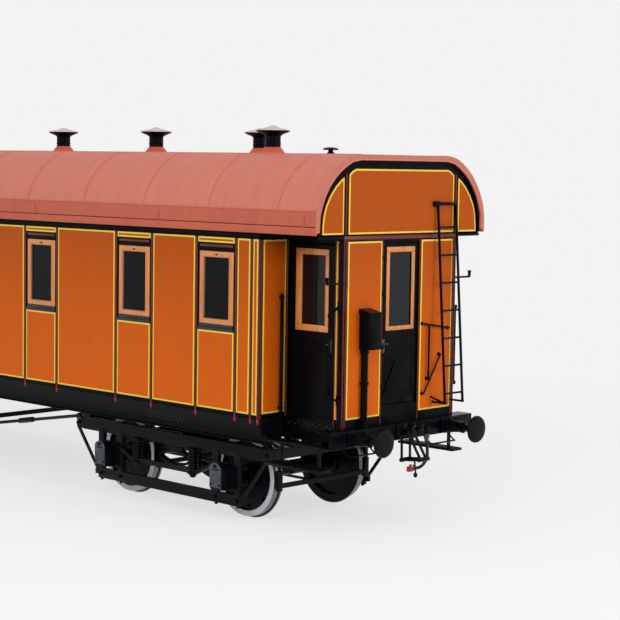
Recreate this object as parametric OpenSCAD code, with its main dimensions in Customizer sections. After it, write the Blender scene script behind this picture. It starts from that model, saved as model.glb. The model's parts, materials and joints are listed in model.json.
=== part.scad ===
// Passenger coach: wooden-bodied, four-axle, on two two-axle bogies.
// Units mm. X runs along the coach, Y across it, Z up. Z = 0 is the lowest
// point of the wheel flanges. The second end is the first turned half round.

/* [Body] */
// Length over the two end walls
body_length = 18336; // [14000:1:22000]
// Width over the outside panels
body_width = 3040; // [2500:1:3700]
// Height of the lower edge of the outside panels
panel_bottom = 1485; // [1450:1:1600]
// Height of the upper edge of the outside panels
panel_top = 3623; // [3500:1:3800]
// Thickness of the side walls
wall_thick = 70; // [40:1:120]
// Thickness of the floor
floor_thick = 55; // [40:1:80]
// Depth of the recess at each end, from the end wall to the bulkhead
recess_depth = 939; // [880:1:1150]
// Width of the vestibule between the two recesses
vestibule_width = 2032; // [1700:1:2200]

/* [Roof] */
// Height of the roof ridge
roof_top = 4657; // [4500:1:4900]
// Thickness of the roof sheeting and boards
roof_thick = 64; // [40:1:90]
// Overhang of the roof past each end wall
roof_overhang = 42; // [20:1:120]

/* [Windows] */
// Distance between the window centres along the side
window_pitch = 1966; // [1600:1:2400]
// Distance from the inner face of the bulkhead to the first window's centre
end_window_inset = 689; // [500:1:900]
// Width of the opening in the side wall for each window
window_width = 610; // [500:1:800]
// Height of the lower edge of the window opening
window_bottom = 2541; // [2400:1:2700]
// Height of the upper edge of the window opening
window_top = 3445; // [3300:1:3500]
// Width of the wooden frame round each pane
window_frame = 76; // [50:1:110]
// Thickness of the glass
glass_thick = 8; // [5:1:12]

/* [Doors] */
// Thickness of every door leaf
door_thick = 44; // [35:1:60]
// Width of each recessed side door leaf
side_door_width = 760; // [620:1:790]
// Width of each end door leaf
end_door_width = 664; // [540:1:800]
// Running gap round every door leaf
door_gap = 6; // [4:1:10]

/* [Running gear] */
// Distance from each end wall to the bogie pivot
pivot_inset = 2962; // [2900:1:3600]
// Wheelbase of each bogie
wheelbase = 2280; // [1900:1:2600]
// Diameter of the wheel treads
tread_dia = 1050; // [850:1:1060]
// Height of the wheel flanges beyond the tread
flange_height = 28; // [25:1:32]
// Distance between the backs of the two wheels on an axle
back_to_back = 1440; // [1420:1:1445]
// Width of each tyre
tyre_width = 130; // [125:1:140]
// Diameter of the axle between the wheels
axle_dia = 160; // [130:1:180]
// Diameter of the axle journals in the boxes
journal_dia = 100; // [80:1:120]
// Distance from the coach centre line to each bogie side frame
frame_y = 1170; // [1150:1:1200]

/* [Underframe] */
// Height of the lower edge of the side sills
sill_bottom = 1130; // [1110:1:1180]
// Height of the lower edge of the headstocks
head_bottom = 1170; // [1140:1:1200]
// Thickness of the truss rods under the sills
truss_dia = 45; // [30:1:60]
// Height of the truss rods in the middle of the coach
truss_low = 630; // [500:1:800]

/* [Buffers and coupling] */
// Distance between the buffer centres
buffer_spacing = 1749; // [1700:1:1800]
// Height of the buffer centres
buffer_height = 1258; // [1240:1:1290]
// Reach of the buffer faces past the end wall
buffer_reach = 572; // [500:1:690]
// Diameter of the buffer heads
buffer_dia = 340; // [280:1:410]

/* [Hidden] */
half_len = body_length / 2;
half_w = body_width / 2;
y_wall = half_w - 20;                  // outer face of the side walls
y_in = y_wall - wall_thick;            // inner face of the side walls
axle_z = tread_dia / 2 + flange_height;
bulk_thick = 80;
bulk_x = half_len - recess_depth;      // outer face of the bulkhead
bulk_in = bulk_x - bulk_thick;         // inner face of the bulkhead
vest_half = vestibule_width / 2;
vest_in = vest_half - door_thick;
end_wall = 60;
wall_x = half_len - end_wall;          // inner face of the end wall
corner = 45;                           // corner post past the vestibule side
floor_z = panel_bottom;                // top of the floor
wall_base = panel_bottom - floor_thick;
wall_doorway = 720;                    // doorway in the bulkheads
doorway_top = floor_z + 1960;

// roof levels
eave_z = panel_top + 112;
soffit_z = panel_top + 60;
wall_top = eave_z + 50;
roof_half_w = y_wall + roof_thick;
roof_flat = 825;                       // half width of the flat crown
// shoulder of the roof: [y share of the way to the eave, z share of the height]
roof_shoulder = [[0, 1], [0.072, 0.9935], [0.227, 0.9675], [0.386, 0.903],
                 [0.528, 0.825], [0.65, 0.74], [0.774, 0.624], [0.88, 0.4865],
                 [0.958, 0.339], [0.993, 0.2], [1, 0.07]];

// windows: one centre line every window_pitch, and one beside each bulkhead
end_win = bulk_in - end_window_inset;
full_bays = floor((end_win - 1400) / window_pitch);
win_list = concat([for (i = [-full_bays:1:full_bays]) i * window_pitch], [-end_win, end_win]);

// doors
hinge_gap = 12;                        // bulkhead to the side door's hinge line
knuckle_clear = 0.4;
door_top = soffit_z - 93;
side_door_z = floor_z + 12;
end_door_z = floor_z + 127;
sd_hinge = bulk_x + hinge_gap;
sd_free = sd_hinge + side_door_width;
end_jamb = end_door_width / 2 + door_gap;
end_door_x = half_len - 8 - door_thick;
pane_low = 2595;
pane_high = 3452;

// underframe
sole_y = half_w - 168;                 // inner face of the side sills
sole_out = sole_y + 90;
head_back = half_len - 120;
head_front = half_len + 100;
head_top = head_bottom + 200;
beam_z = sill_bottom + 60;             // lower edge of the cross beams
bogie_x = half_len - pivot_inset;
truss_x = bogie_x - 1376;              // outer end of each truss rod
queen_x = truss_x - 2830;              // queen posts
truss_y = sole_y + 44;
bearer_y = 760;
centre_z = 1052;                       // underside of the body's centre plate

// bogie
hx = wheelbase / 2;
frame_reach = hx + 740;
frame_top = axle_z + 457;
frame_bottom = axle_z + 300;
frame_half = 12;                       // half thickness of the side frame
horn_in = 150;
horn_out = 250;
tie_top = axle_z - 191;                // tie bar under the axle boxes
tie_low = tie_top - 136;
strut_foot = hx + 318;                 // outer end of the tie bar
box_half = horn_in - 0.3;
box_back = frame_y - 130;              // inner face of the axle boxes
box_front = frame_y + 200;             // outer face of the axle boxes, behind the lids
spring_x = 547;
bar_y = frame_y + 48;                  // middle of the equaliser bars and springs
bar_half = 18;
seat_z = axle_z + 55;                  // top of the equaliser's low part
shoe_gap = 15;
cross_x = 400;                         // inner face of the two middle cross beams

// buffer beam hardware: offsets past the end wall
hose_y = 300;
hose_z = 1290;
hose_dia = 40;
hose_start = 215;
hose_top = 1200;
// route of the brake hose: [past the end wall, y, z]
hose_route = [[hose_start, 300, hose_top], [217, 300, 1160], [222, 299, 1110], [228, 298, 1060],
              [234, 296, 1010], [239, 292, 962], [241, 284, 930], [238, 268, 896], [232, 245, 862],
              [223, 215, 833], [211, 180, 814], [198, 150, 806], [185, 125, 805]];

c_black = [0.05, 0.055, 0.07];
c_orange = [0.78, 0.33, 0.05];
c_wood = [0.86, 0.52, 0.25];
c_roof = [0.80, 0.43, 0.36];
c_glass = [0.25, 0.35, 0.42, 0.6];
c_tyre = [0.85, 0.83, 0.85];
c_seat = [0.55, 0.38, 0.22];
c_red = [0.7, 0.08, 0.05];

// ---------- small helpers ----------
module box(x0, x1, y0, y1, z0, z1) {
  translate([x0, y0, z0]) cube([x1 - x0, y1 - y0, z1 - z0]);
}
// e = 1: the front end, e = -1: the same thing turned half round
module turn_end(e) {
  rotate([0, 0, e > 0 ? 0 : 180]) children();
}
// s = 1: the +Y side, s = -1: its mirror image
module on_side(s) {
  mirror([0, s > 0 ? 0 : 1, 0]) children();
}
module both_sides() {
  for (s = [-1, 1]) on_side(s) children();
}
module both_ends() {
  for (s = [-1, 1]) mirror([s > 0 ? 0 : 1, 0, 0]) children();
}
// round bars between two points of one XZ or YZ plane
module bar_xz(x0, z0, x1, z1, y, d) {
  long = sqrt((x1 - x0) * (x1 - x0) + (z1 - z0) * (z1 - z0));
  translate([x0, y, z0]) rotate([0, atan2(x1 - x0, z1 - z0), 0]) cylinder(d = d, h = long, $fn = 24);
}
module bar_yz(y0, z0, y1, z1, x, d) {
  long = sqrt((y1 - y0) * (y1 - y0) + (z1 - z0) * (z1 - z0));
  translate([x, y0, z0]) rotate([-atan2(y1 - y0, z1 - z0), 0, 0]) cylinder(d = d, h = long, $fn = 24);
}
module rod_y(x, y0, y1, z, d) {
  translate([x, y0, z]) rotate([-90, 0, 0]) cylinder(d = d, h = y1 - y0, $fn = 32);
}
module rod_x(x0, x1, y, z, d) {
  translate([x0, y, z]) rotate([0, 90, 0]) cylinder(d = d, h = x1 - x0, $fn = 32);
}
module post_z(x, y, z0, z1, d) {
  translate([x, y, z0]) cylinder(d = d, h = z1 - z0, $fn = 32);
}
module along_x(x0, x1) {
  translate([x0, 0, 0]) rotate([90, 0, 90]) linear_extrude(height = x1 - x0) children();
}
module along_y(y0, y1) {
  translate([0, y1, 0]) rotate([90, 0, 0]) linear_extrude(height = y1 - y0) children();
}

// ---------- roof outline ----------
// t = 0 gives the outside, t = roof_thick the inside
function roof_side(t) = let (flat = roof_flat - t / 2)
  [for (p = roof_shoulder)
    [flat + p[0] * (roof_half_w - t - flat), eave_z + p[1] * (roof_top - t - eave_z)]];
module roof_section(t, low) {
  side = concat(roof_side(t), [[roof_half_w - t, low]]);
  n = len(side);
  polygon(concat(side, [for (i = [n - 1:-1:0]) [-side[i][0], side[i][1]]]));
}

// ---------- underframe ----------
// channel along X: web on the side of sgn, flanges reaching fl from it
module channel_x(x0, x1, y_web, sgn, z0, z1, fl) {
  yw = sgn > 0 ? y_web : y_web - 12;
  yf = sgn > 0 ? y_web : y_web - fl;
  box(x0, x1, yw, yw + 12, z0, z1);
  box(x0, x1, yf, yf + fl, z0, z0 + 14);
  box(x0, x1, yf, yf + fl, z1 - 14, z1);
}
module headstock() {
  box(head_front - 16, head_front, -half_w + 190, half_w - 190, head_bottom, head_top);
  box(head_back, head_front, -half_w + 190, half_w - 190, head_top - 14, head_top);
  box(head_back, head_front, -half_w + 190, half_w - 190, head_bottom, head_bottom + 14);
}
module underframe() {
  color(c_black) {
    both_sides() {
      channel_x(-bulk_x, bulk_x, sole_y, 1, sill_bottom, wall_base, 90);
      channel_x(-head_front + 16, head_front - 16, 165, 1, head_bottom, head_top, 80);
      box(-head_back, head_back, 165, 177, head_bottom, wall_base);
    }
    for (e = [-1, 1]) turn_end(e) {
      headstock();
      // sills under the vestibule sides
      both_sides() {
        channel_x(bulk_x, head_front - 16, vest_half, -1, head_bottom, head_top, 76);
        box(bulk_x, head_back, vest_half - 12, vest_half, head_bottom, wall_base);
      }
      // cross beams under the bulkhead and over the bogie
      box(bulk_in, bulk_x, -sole_out, sole_out, beam_z + 40, wall_base);
      box(bogie_x - 160, bogie_x + 160, -sole_y, sole_y, beam_z, wall_base);
      post_z(bogie_x, 0, centre_z, beam_z, 360);
      both_sides() box(bogie_x - 90, bogie_x + 90, bearer_y - 80, bearer_y + 80, centre_z + 44, beam_z);
    }
    for (x = [-truss_x + 600, -queen_x, 0, queen_x, truss_x - 600])
      box(x - 45, x + 45, -sole_y, sole_y, beam_z, wall_base);
  }
}
module truss_rods() {
  top = sill_bottom;
  color(c_black) both_sides() {
    both_ends() {
      bar_xz(truss_x, top - 24, queen_x, truss_low, truss_y, truss_dia);
      box(queen_x - 34, queen_x + 34, truss_y - 34, truss_y + 34, truss_low - 30, top);
      box(truss_x - 90, truss_x + 90, truss_y - 34, truss_y + 34, top - 48, top);
      box(queen_x - 30, queen_x + 30, 0, truss_y, truss_low + 60, truss_low + 120);
    }
    rod_x(-queen_x, queen_x, truss_y, truss_low, truss_dia);
  }
}
module floor_slab() {
  color(c_seat) {
    box(-bulk_in, bulk_in, -y_in, y_in, wall_base, floor_z);
    for (e = [-1, 1]) turn_end(e) box(bulk_x, wall_x, -vest_in, vest_in, wall_base, floor_z);
  }
}

// ---------- side walls ----------
module side_wall(s) {
  color(c_orange) on_side(s) difference() {
    box(-bulk_in, bulk_in, y_in, y_wall, wall_base, wall_top);
    for (x = win_list)
      box(x - window_width / 2, x + window_width / 2, y_in - 1, y_wall + 1, window_bottom, window_top);
  }
}
module window_frames(s) {
  f = window_frame;
  color(c_wood) on_side(s) for (x = win_list) difference() {
    box(x - window_width / 2, x + window_width / 2, y_wall - 40, y_wall + 8, window_bottom, window_top);
    box(x - window_width / 2 + f, x + window_width / 2 - f, y_wall - 41, y_wall + 9,
        window_bottom + f - 12, window_top - f + 6);
  }
}
module window_glass(s) {
  f = window_frame;
  color(c_glass) on_side(s) for (x = win_list)
    box(x - window_width / 2 + f, x + window_width / 2 - f, y_wall - 20, y_wall - 20 + glass_thick,
        window_bottom + f - 12, window_top - f + 6);
}

// ---------- ends ----------
module bulkhead(e) {
  color(c_orange) turn_end(e) difference() {
    along_x(bulk_in, bulk_x) roof_section(roof_thick, wall_base);
    box(bulk_in - 1, bulk_x + 1, -wall_doorway / 2, wall_doorway / 2, floor_z, doorway_top);
  }
}
module vestibule(e) {
  color(c_orange) turn_end(e) {
    // end wall with its doorway
    difference() {
      box(wall_x, half_len, -vest_half - corner, vest_half + corner, head_top, soffit_z);
      box(wall_x - 1, half_len + 1, -end_jamb, end_jamb, end_door_z - door_gap, door_top + door_gap);
    }
    // side posts, and the rails over and under the side doors
    both_sides() {
      box(sd_free + door_gap, wall_x, vest_in, vest_half, wall_base, soffit_z);
      box(bulk_x, sd_free + door_gap, vest_in, vest_half, door_top + door_gap, soffit_z);
      box(bulk_x, sd_free + door_gap, vest_in, vest_half, wall_base, side_door_z - door_gap);
    }
  }
}
module gable(e) {
  color(c_orange) turn_end(e) along_x(half_len - 50, half_len) roof_section(roof_thick, soffit_z);
}
module roof() {
  color(c_roof) {
    difference() {
      along_x(-half_len - roof_overhang, half_len + roof_overhang) roof_section(0, eave_z);
      along_x(-half_len - roof_overhang - 1, half_len + roof_overhang + 1)
        roof_section(roof_thick, eave_z - 1);
    }
    // soffit over each pair of recesses, with its cornice
    for (e = [-1, 1]) turn_end(e) {
      box(bulk_x, half_len - 50, -y_wall, y_wall, soffit_z, eave_z + 10);
      both_sides() {
        box(bulk_x, half_len, y_wall - 60, y_wall, soffit_z - 29, soffit_z);
        box(wall_x, half_len, vest_half + corner, y_wall, soffit_z - 29, soffit_z);
      }
    }
  }
}
module vent(x, y) {
  translate([x, y, roof_top]) {
    cylinder(d1 = 320, d2 = 212, h = 80, $fn = 48);
    cylinder(d = 200, h = 240, $fn = 48);
    translate([0, 0, 235]) cylinder(d1 = 300, d2 = 440, h = 55, $fn = 48);
    translate([0, 0, 290]) cylinder(d1 = 440, d2 = 60, h = 72, $fn = 48);
  }
}
module lamp_vent(x) {
  translate([x, 0, roof_top]) {
    cylinder(d1 = 150, d2 = 64, h = 45, $fn = 32);
    cylinder(d = 60, h = 70, $fn = 24);
    translate([0, 0, 65]) cylinder(d = 200, h = 35, $fn = 32);
  }
}
module ventilators() {
  color(c_roof) {
    vent(0, 0);
    for (e = [-1, 1]) turn_end(e) {
      vent(half_len - 6678, 0);
      vent(half_len - 4585, 0);
      vent(half_len - 3070, 560);
      vent(half_len - 1700, -560);
      lamp_vent(half_len - 1220);
    }
  }
}

// ---------- doors ----------
module side_door(e, s) {
  w0 = sd_hinge + 133;
  w1 = sd_free - 103;
  mid = vest_half - door_thick / 2;
  z_knuckle = [side_door_z + 300, side_door_z + 1000, side_door_z + 1750];
  color(c_black) turn_end(e) on_side(s) {
    difference() {
      box(sd_hinge, sd_free, vest_in, vest_half, side_door_z, door_top);
      box(w0, w1, vest_in - 1, vest_half + 1, pane_low, pane_high);
    }
    box(w0 - 5, w1 + 5, mid - 4, mid + 4, pane_low - 5, pane_high + 5);
    for (z = z_knuckle) post_z(sd_hinge, vest_in, z, z + 90, 2 * (hinge_gap - knuckle_clear));
  }
}
module end_door(e) {
  x0 = end_door_x;
  mid = x0 + door_thick / 2;
  w = end_door_width / 2;
  z_knuckle = [end_door_z + 250, end_door_z + 900, end_door_z + 1650];
  color(c_black) turn_end(e) {
    difference() {
      box(x0, x0 + door_thick, -w, w, end_door_z, door_top);
      box(x0 - 1, x0 + door_thick + 1, -w + 127, w - 127, pane_low - 25, pane_high + 28);
    }
    box(mid - 4, mid + 4, -w + 122, w - 122, pane_low - 30, pane_high + 33);
    for (z = z_knuckle) post_z(x0, w, z, z + 90, 2 * (door_gap - knuckle_clear));
  }
}

// ---------- buffers, coupling, train pipe ----------
module buffers(e) {
  neck = half_len + buffer_reach - 40;
  color(c_black) turn_end(e) for (s = [-1, 1]) translate([0, s * buffer_spacing / 2, buffer_height]) {
    box(head_front, head_front + 20, -165, 165, head_bottom - buffer_height, head_top - buffer_height);
    translate([head_front + 20, 0, 0]) rotate([0, 90, 0]) cylinder(d1 = 170, d2 = 120, h = 220, $fn = 48);
    rod_x(head_front + 20, neck, 0, 0, 100);
    rod_x(neck, neck + 22, 0, 0, buffer_dia);
    translate([neck + 22, 0, 0]) rotate([0, 90, 0])
      cylinder(d1 = buffer_dia, d2 = buffer_dia - 60, h = 18, $fn = 64);
  }
}
module coupling(e) {
  top = [head_front + 110, 1275];       // links on the draw hook: [x, z]
  low = [head_front + 320, 960];        // trunnion at the low end of the links
  loop = [head_front + 40, 925];        // low end of the loose shackle
  color(c_black) turn_end(e) {
    box(head_front, head_front + 20, -140, 140, head_bottom + 20, head_top - 10);
    box(head_front + 20, head_front + 150, -30, 30, 1225, 1300);
    box(head_front + 110, head_front + 150, -30, 30, 1300, 1345);
    rod_y(top[0], -70, 70, top[1], 44);
    both_sides() bar_xz(top[0], top[1], low[0], low[1], 52, 34);
    rod_y(low[0], -95, 95, low[1], 56);
    bar_xz(low[0], low[1], loop[0], loop[1], 0, 46);
    rod_y(loop[0], -95, 95, loop[1], 54);
    both_sides() bar_xz(loop[0], loop[1], loop[0] - 6, 1185, 78, 32);
  }
}
module hose_pipe(e) {
  // the train pipe comes through the headstock beside the hook
  color(c_black) turn_end(e) {
    rod_x(head_front, half_len + hose_start, hose_y, hose_z, 56);
    post_z(half_len + hose_start, hose_y, hose_top, hose_z + 28, 56);
    box(head_front, head_front + 14, hose_y - 45, hose_y + 45, hose_z - 45, hose_z + 45);
  }
}
// tube swept along the hose route, one ring at each point
hose_sides = 10;
function unit(v) = v / norm(v);
function hose_dir(i) = i == 0 ? [0, 0, -1]
  : i == len(hose_route) - 1 ? [0, -1, 0]
  : unit(hose_route[i + 1] - hose_route[i - 1]);
function hose_ring(i, r) = let (d = hose_dir(i), a = unit(cross(d, [1, 0.2, 0.1])), b = cross(d, a))
  [for (k = [0:hose_sides - 1]) [half_len, 0, 0] + hose_route[i]
    + r * (cos(k * 360 / hose_sides) * a + sin(k * 360 / hose_sides) * b)];
module hose_tube(r) {
  n = len(hose_route);
  m = hose_sides;
  polyhedron(
    points = [for (i = [0:n - 1]) each hose_ring(i, r)],
    faces = concat([[for (k = [m - 1:-1:0]) k]], [[for (k = [0:m - 1]) (n - 1) * m + k]],
      [for (i = [0:n - 2], k = [0:m - 1])
        [i * m + k, i * m + (k + 1) % m, (i + 1) * m + (k + 1) % m, (i + 1) * m + k]]));
}
module brake_hose(e) {
  color(c_black) turn_end(e) hose_tube(hose_dia / 2);
}
module hose_end(e) {
  p = hose_route[len(hose_route) - 1];
  x = half_len + p[0];
  color(c_red) turn_end(e) {
    rod_y(x, p[1] - 60, p[1], p[2], 44);
    box(x - 26, x + 26, p[1] - 130, p[1] - 60, p[2] - 30, p[2] + 30);
  }
}

// ---------- steps, rails, ladder, box ----------
module steps(e) {
  x1 = half_len - 60;
  up = [vest_half + 54, vest_half + 234];      // upper board: inner and outer edge
  lo = [vest_half + 134, vest_half + 334];     // lower board
  z_up = head_bottom - 32;
  z_lo = head_bottom - 302;
  color(c_black) turn_end(e) both_sides() {
    box(bulk_x - 110, x1, up[0], up[1], z_up, z_up + 32);
    box(bulk_x - 50, x1, lo[0], lo[1], z_lo, z_lo + 32);
    for (x = [bulk_x + 140, x1 - 120]) {
      box(x - 8, x + 8, vest_half, up[1] - 60, z_up + 32, z_up + 80);
      box(x - 8, x + 8, up[1] - 60, up[1], z_lo + 32, z_up);
    }
  }
}
module stirrup(y0, y1) {
  for (y = [y0, y1]) bar_xz(half_len - 40, head_bottom - 12, half_len + 100, head_bottom - 118, y, 20);
  rod_y(half_len + 100, y0 - 11, y1 + 11, head_bottom - 118, 22);
  for (y = [y0, y1]) box(half_len - 60, half_len - 20, y - 18, y + 18, head_bottom - 20, head_bottom);
}
module handrails(e) {
  z_foot = head_bottom;
  color(c_black) turn_end(e) both_sides() {
    // grab rail on the vestibule post
    for (z = [[1712, 1775], [2850, 2745]]) {
      box(half_len - 105, half_len - 65, vest_half, vest_half + 12, z[0] - 60, z[0] + 60);
      bar_yz(vest_half + 9, z[0], vest_half + 157, z[1], half_len - 85, 28);
    }
    post_z(half_len - 85, vest_half + 157, 1765, 2755, 30);
    // long rail on the recess wall, its foot on the upper step
    post_z(bulk_x + 55, vest_half + 160, z_foot, 2960, 40);
    for (z = [1560, 2920]) rod_x(bulk_x, bulk_x + 56, vest_half + 160, z, 26);
    // lamp bracket
    box(half_len, half_len + 12, 955, 1000, 3065, 3200);
    box(half_len, half_len + 14, 1000, 1345, 3118, 3142);
    box(half_len, half_len + 14, 1321, 1345, 3118, 3200);
    // handle under each buffer
    stirrup(530, 990);
  }
}
module ladder(e) {
  // climbs one side of the end wall to the roof
  low = [half_len + 222, 1572];
  high = [half_len + 40, 4075];
  color(c_black) turn_end(e) {
    for (y = [635, 985]) {
      bar_xz(low[0], low[1], high[0], high[1], y, 34);
      box(half_len, low[0] + 14, y - 14, y + 14, low[1] - 12, low[1] + 12);
      box(half_len, high[0], y - 14, y + 14, high[1] - 24, high[1]);
    }
    for (i = [0:6]) {
      z = 1690 + i * 347;
      x = low[0] + (high[0] - low[0]) * (z - low[1]) / (high[1] - low[1]);
      rod_y(x, 635, 985, z, 26);
    }
  }
}
module end_box(e) {
  color(c_black) turn_end(e) {
    box(half_len, half_len + 200, -762, -580, 2330, 2770);
    post_z(half_len + 56, -700, head_top, 2330, 84);
    for (z = [1500, 2040]) box(half_len, half_len + 20, -712, -688, z, z + 30);
  }
}

// ---------- inside ----------
module seat_pair(x, y0, y1) {
  // two benches either side of one upright back
  box(x - 18, x + 18, y0, y1, floor_z, floor_z + 1250);
  for (d = [-1, 1]) {
    near = x + d * 18;
    far = x + d * 468;
    leg = x + d * 400;
    box(min(near, far), max(near, far), y0, y1, floor_z + 400, floor_z + 445);
    box(min(leg, leg + d * 30), max(leg, leg + d * 30), y0, y1, floor_z, floor_z + 400);
  }
}
module seats() {
  color(c_seat) for (i = [-full_bays:1:full_bays - 1]) both_sides()
    seat_pair((i + 0.5) * window_pitch, 350, y_in);
}
module partitions() {
  x = full_bays * window_pitch + 783;
  color(c_seat) both_ends() both_sides() box(x - 20, x + 20, 350, y_in, floor_z, panel_top);
}

// ---------- bogies ----------
module side_frame() {
  // plate with a strut at each end, a pair of horns round each axle box and a tie bar
  foot = strut_foot;
  along_y(frame_y - frame_half, frame_y + frame_half) {
    polygon([[-frame_reach, frame_bottom + 16], [-frame_reach, frame_top], [frame_reach, frame_top],
             [frame_reach, frame_bottom + 16], [frame_reach - 170, frame_bottom],
             [-frame_reach + 170, frame_bottom]]);
    for (s = [-1, 1]) {
      polygon([[s * (frame_reach - 6), frame_bottom + 16], [s * (frame_reach - 60), frame_bottom + 16],
               [s * (foot - 50), tie_top - 20], [s * foot, tie_top - 20]]);
      for (t = [-1, 1]) {
        x = s * hx + t * horn_out;
        // rounded corner where each horn meets the tie bar
        polygon([[x, tie_top - 1], [x + t * 60, tie_top - 1], [x + t * 22, tie_top + 22], [x, tie_top + 60]]);
      }
    }
  }
  box(-frame_reach, frame_reach, frame_y - 60, frame_y + 60, frame_top, frame_top + 14);
  box(-hx - horn_out, hx + horn_out, frame_y - 25, frame_y + 25, tie_low, tie_top);
  both_ends() {
    box(hx + horn_out, foot, frame_y - 25, frame_y + 25, tie_top - 88, tie_top - 20);
    for (x = [hx - horn_out, hx + horn_in])
      box(x, x + horn_out - horn_in, frame_y - 30, frame_y + 25, tie_top, frame_bottom + 40);
  }
}
module bogie_frame(e) {
  inner = frame_y - frame_half;
  color(c_black) turn_end(e) translate([bogie_x, 0, 0]) {
    both_sides() {
      side_frame();
      // spring seats outside the frame
      for (x = [-spring_x, spring_x])
        box(x - 85, x + 85, frame_y + frame_half, bar_y + 75, frame_bottom, frame_bottom + 22);
    }
    both_ends() {
      box(frame_reach - 20, frame_reach, -inner, inner, frame_bottom + 16, frame_top);
      box(cross_x, cross_x + 20, -inner, inner, frame_bottom - 30, frame_top);
    }
  }
}
module leaf_arc(z0, rise) {
  // one half of an elliptic spring, six leaves deep
  n = 12;
  inward = rise > 0 ? -1 : 1;
  steps = [for (i = [0:n]) [-330 + 660 * i / n, sin(180 * i / n)]];
  outer = [for (p = steps) [p[0], z0 + rise * p[1]]];
  inner = [for (i = [n:-1:0]) [steps[i][0], z0 + rise * steps[i][1] + inward * (14 + 28 * steps[i][1])]];
  along_y(-45, 45) polygon(concat(outer, inner));
}
module bolster(e) {
  low = axle_z - 10;                    // top of the spring plank
  high = axle_z + 217;                  // underside of the bolster
  mid = (low + high) / 2;
  wide = frame_y - 80;
  leaf_y = frame_y - 170;
  color(c_black) turn_end(e) translate([bogie_x, 0, 0]) {
    box(-190, 190, -wide, wide, high, frame_top - 60);
    post_z(0, 0, frame_top - 60, centre_z - 0.4, 400);
    both_sides() {
      box(-90, 90, bearer_y - 80, bearer_y + 80, frame_top - 60, centre_z + 38);
      translate([0, leaf_y, 0]) {
        leaf_arc(mid + 10, high - mid - 10);
        leaf_arc(mid - 10, low - mid + 10);
        box(-320, -296, -45, 45, mid - 22, mid + 22);
        box(296, 320, -45, 45, mid - 22, mid + 22);
      }
      box(-cross_x, cross_x, leaf_y - 80, leaf_y + 80, low - 30, low);
      both_ends() box(cross_x - 12, cross_x, leaf_y - 60, leaf_y + 60, low - 30, frame_bottom + 12);
    }
  }
}
module lid_shape(w, z0, z1) {
  // upright plate with a round top: [x, z]
  translate([-w / 2, z0]) square([w, z1 - z0 - w * 0.36]);
  translate([0, z1 - w * 0.36]) scale([1, 0.72]) circle(d = w, $fn = 48);
}
module axle_box() {
  rest = bar_y - bar_half;              // the equaliser bar stands on the box from here
  difference() {
    union() {
      box(-box_half, box_half, box_back, frame_y - 30.3, -150, 150);
      box(-box_half, box_half, frame_y - 30.3, rest, -150, 150);
      box(-100, 100, rest, bar_y + bar_half + 2, -120, 150);
      along_y(bar_y + bar_half + 2, box_front) lid_shape(200, -120, 212);
      along_y(box_front, box_front + 15) lid_shape(200, -90, 224);
      for (t = [-1, 1]) translate([t * 92, box_front - 20, -100])
        rotate([-90, 0, 0]) cylinder(d = 26, h = 22, $fn = 24);
    }
    rod_y(0, box_back - 1, box_front - 30, 0, journal_dia + 0.8);
  }
}
module axle_boxes(e) {
  color(c_black) turn_end(e) translate([bogie_x, 0, axle_z]) both_sides()
    for (x = [-hx, hx]) translate([x, 0, 0]) axle_box();
}
module coil(z0, z1) {
  post_z(0, 0, z0, z1, 96);
  post_z(0, 0, z1 - 16, z1, 150);
  post_z(0, 0, z0, z0 + 20, 150);
  for (z = [z0 + 44:38:z1 - 44]) post_z(0, 0, z, z + 20, 136);
}
module equaliser() {
  top = axle_z + 150;
  low = seat_z - 66;
  along_y(bar_y - bar_half, bar_y + bar_half) polygon([
    [-hx - 90, top], [-hx - 90, top + 60], [-hx + 150, top + 60], [-spring_x - 110, seat_z],
    [spring_x + 110, seat_z], [hx - 150, top + 60], [hx + 90, top + 60], [hx + 90, top],
    [hx - 175, top], [spring_x + 80, low], [-spring_x - 80, low], [-hx + 175, top]]);
}
module springs(e) {
  // equaliser bars resting on the axle boxes, with coil springs on them
  color(c_black) turn_end(e) translate([bogie_x, 0, 0]) both_sides() {
    equaliser();
    for (x = [-spring_x, spring_x]) translate([x, bar_y, 0]) {
      coil(seat_z - 66, frame_bottom);
      post_z(0, 0, seat_z - 90, seat_z - 66, 96);
      post_z(0, 0, seat_z - 106, seat_z - 90, 44);
    }
  }
}
module brake_gear(e) {
  // a shoe on each side of every wheel, hung from the cross beams
  reach = tread_dia / 2 + shoe_gap + 30;
  y0 = back_to_back / 2 + 54;
  beam = axle_z - 62;
  color(c_black) turn_end(e) translate([bogie_x, 0, 0]) {
    both_ends() for (d = [-1, 1]) {
      cx = hx + d * reach;
      wall = d > 0 ? frame_reach - 20 : cross_x + 20;
      both_sides() {
        box(cx - 30, cx + 30, y0, y0 + 72, axle_z - 130, axle_z + 130);
        box(cx - 14, cx + 14, y0 + 16, y0 + 56, axle_z + 130, frame_top - 30);
        box(min(cx + d * 14, wall), max(cx + d * 14, wall), y0 + 16, y0 + 56, frame_top - 60, frame_top - 30);
        box(min(cx - d * 12, cx + d * 30), max(cx - d * 12, cx + d * 30), 0, y0 + 40, beam - 30, beam + 30);
      }
    }
    box(-hx - reach, hx + reach, -18, 18, beam - 62, beam - 30);
  }
}
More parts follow.
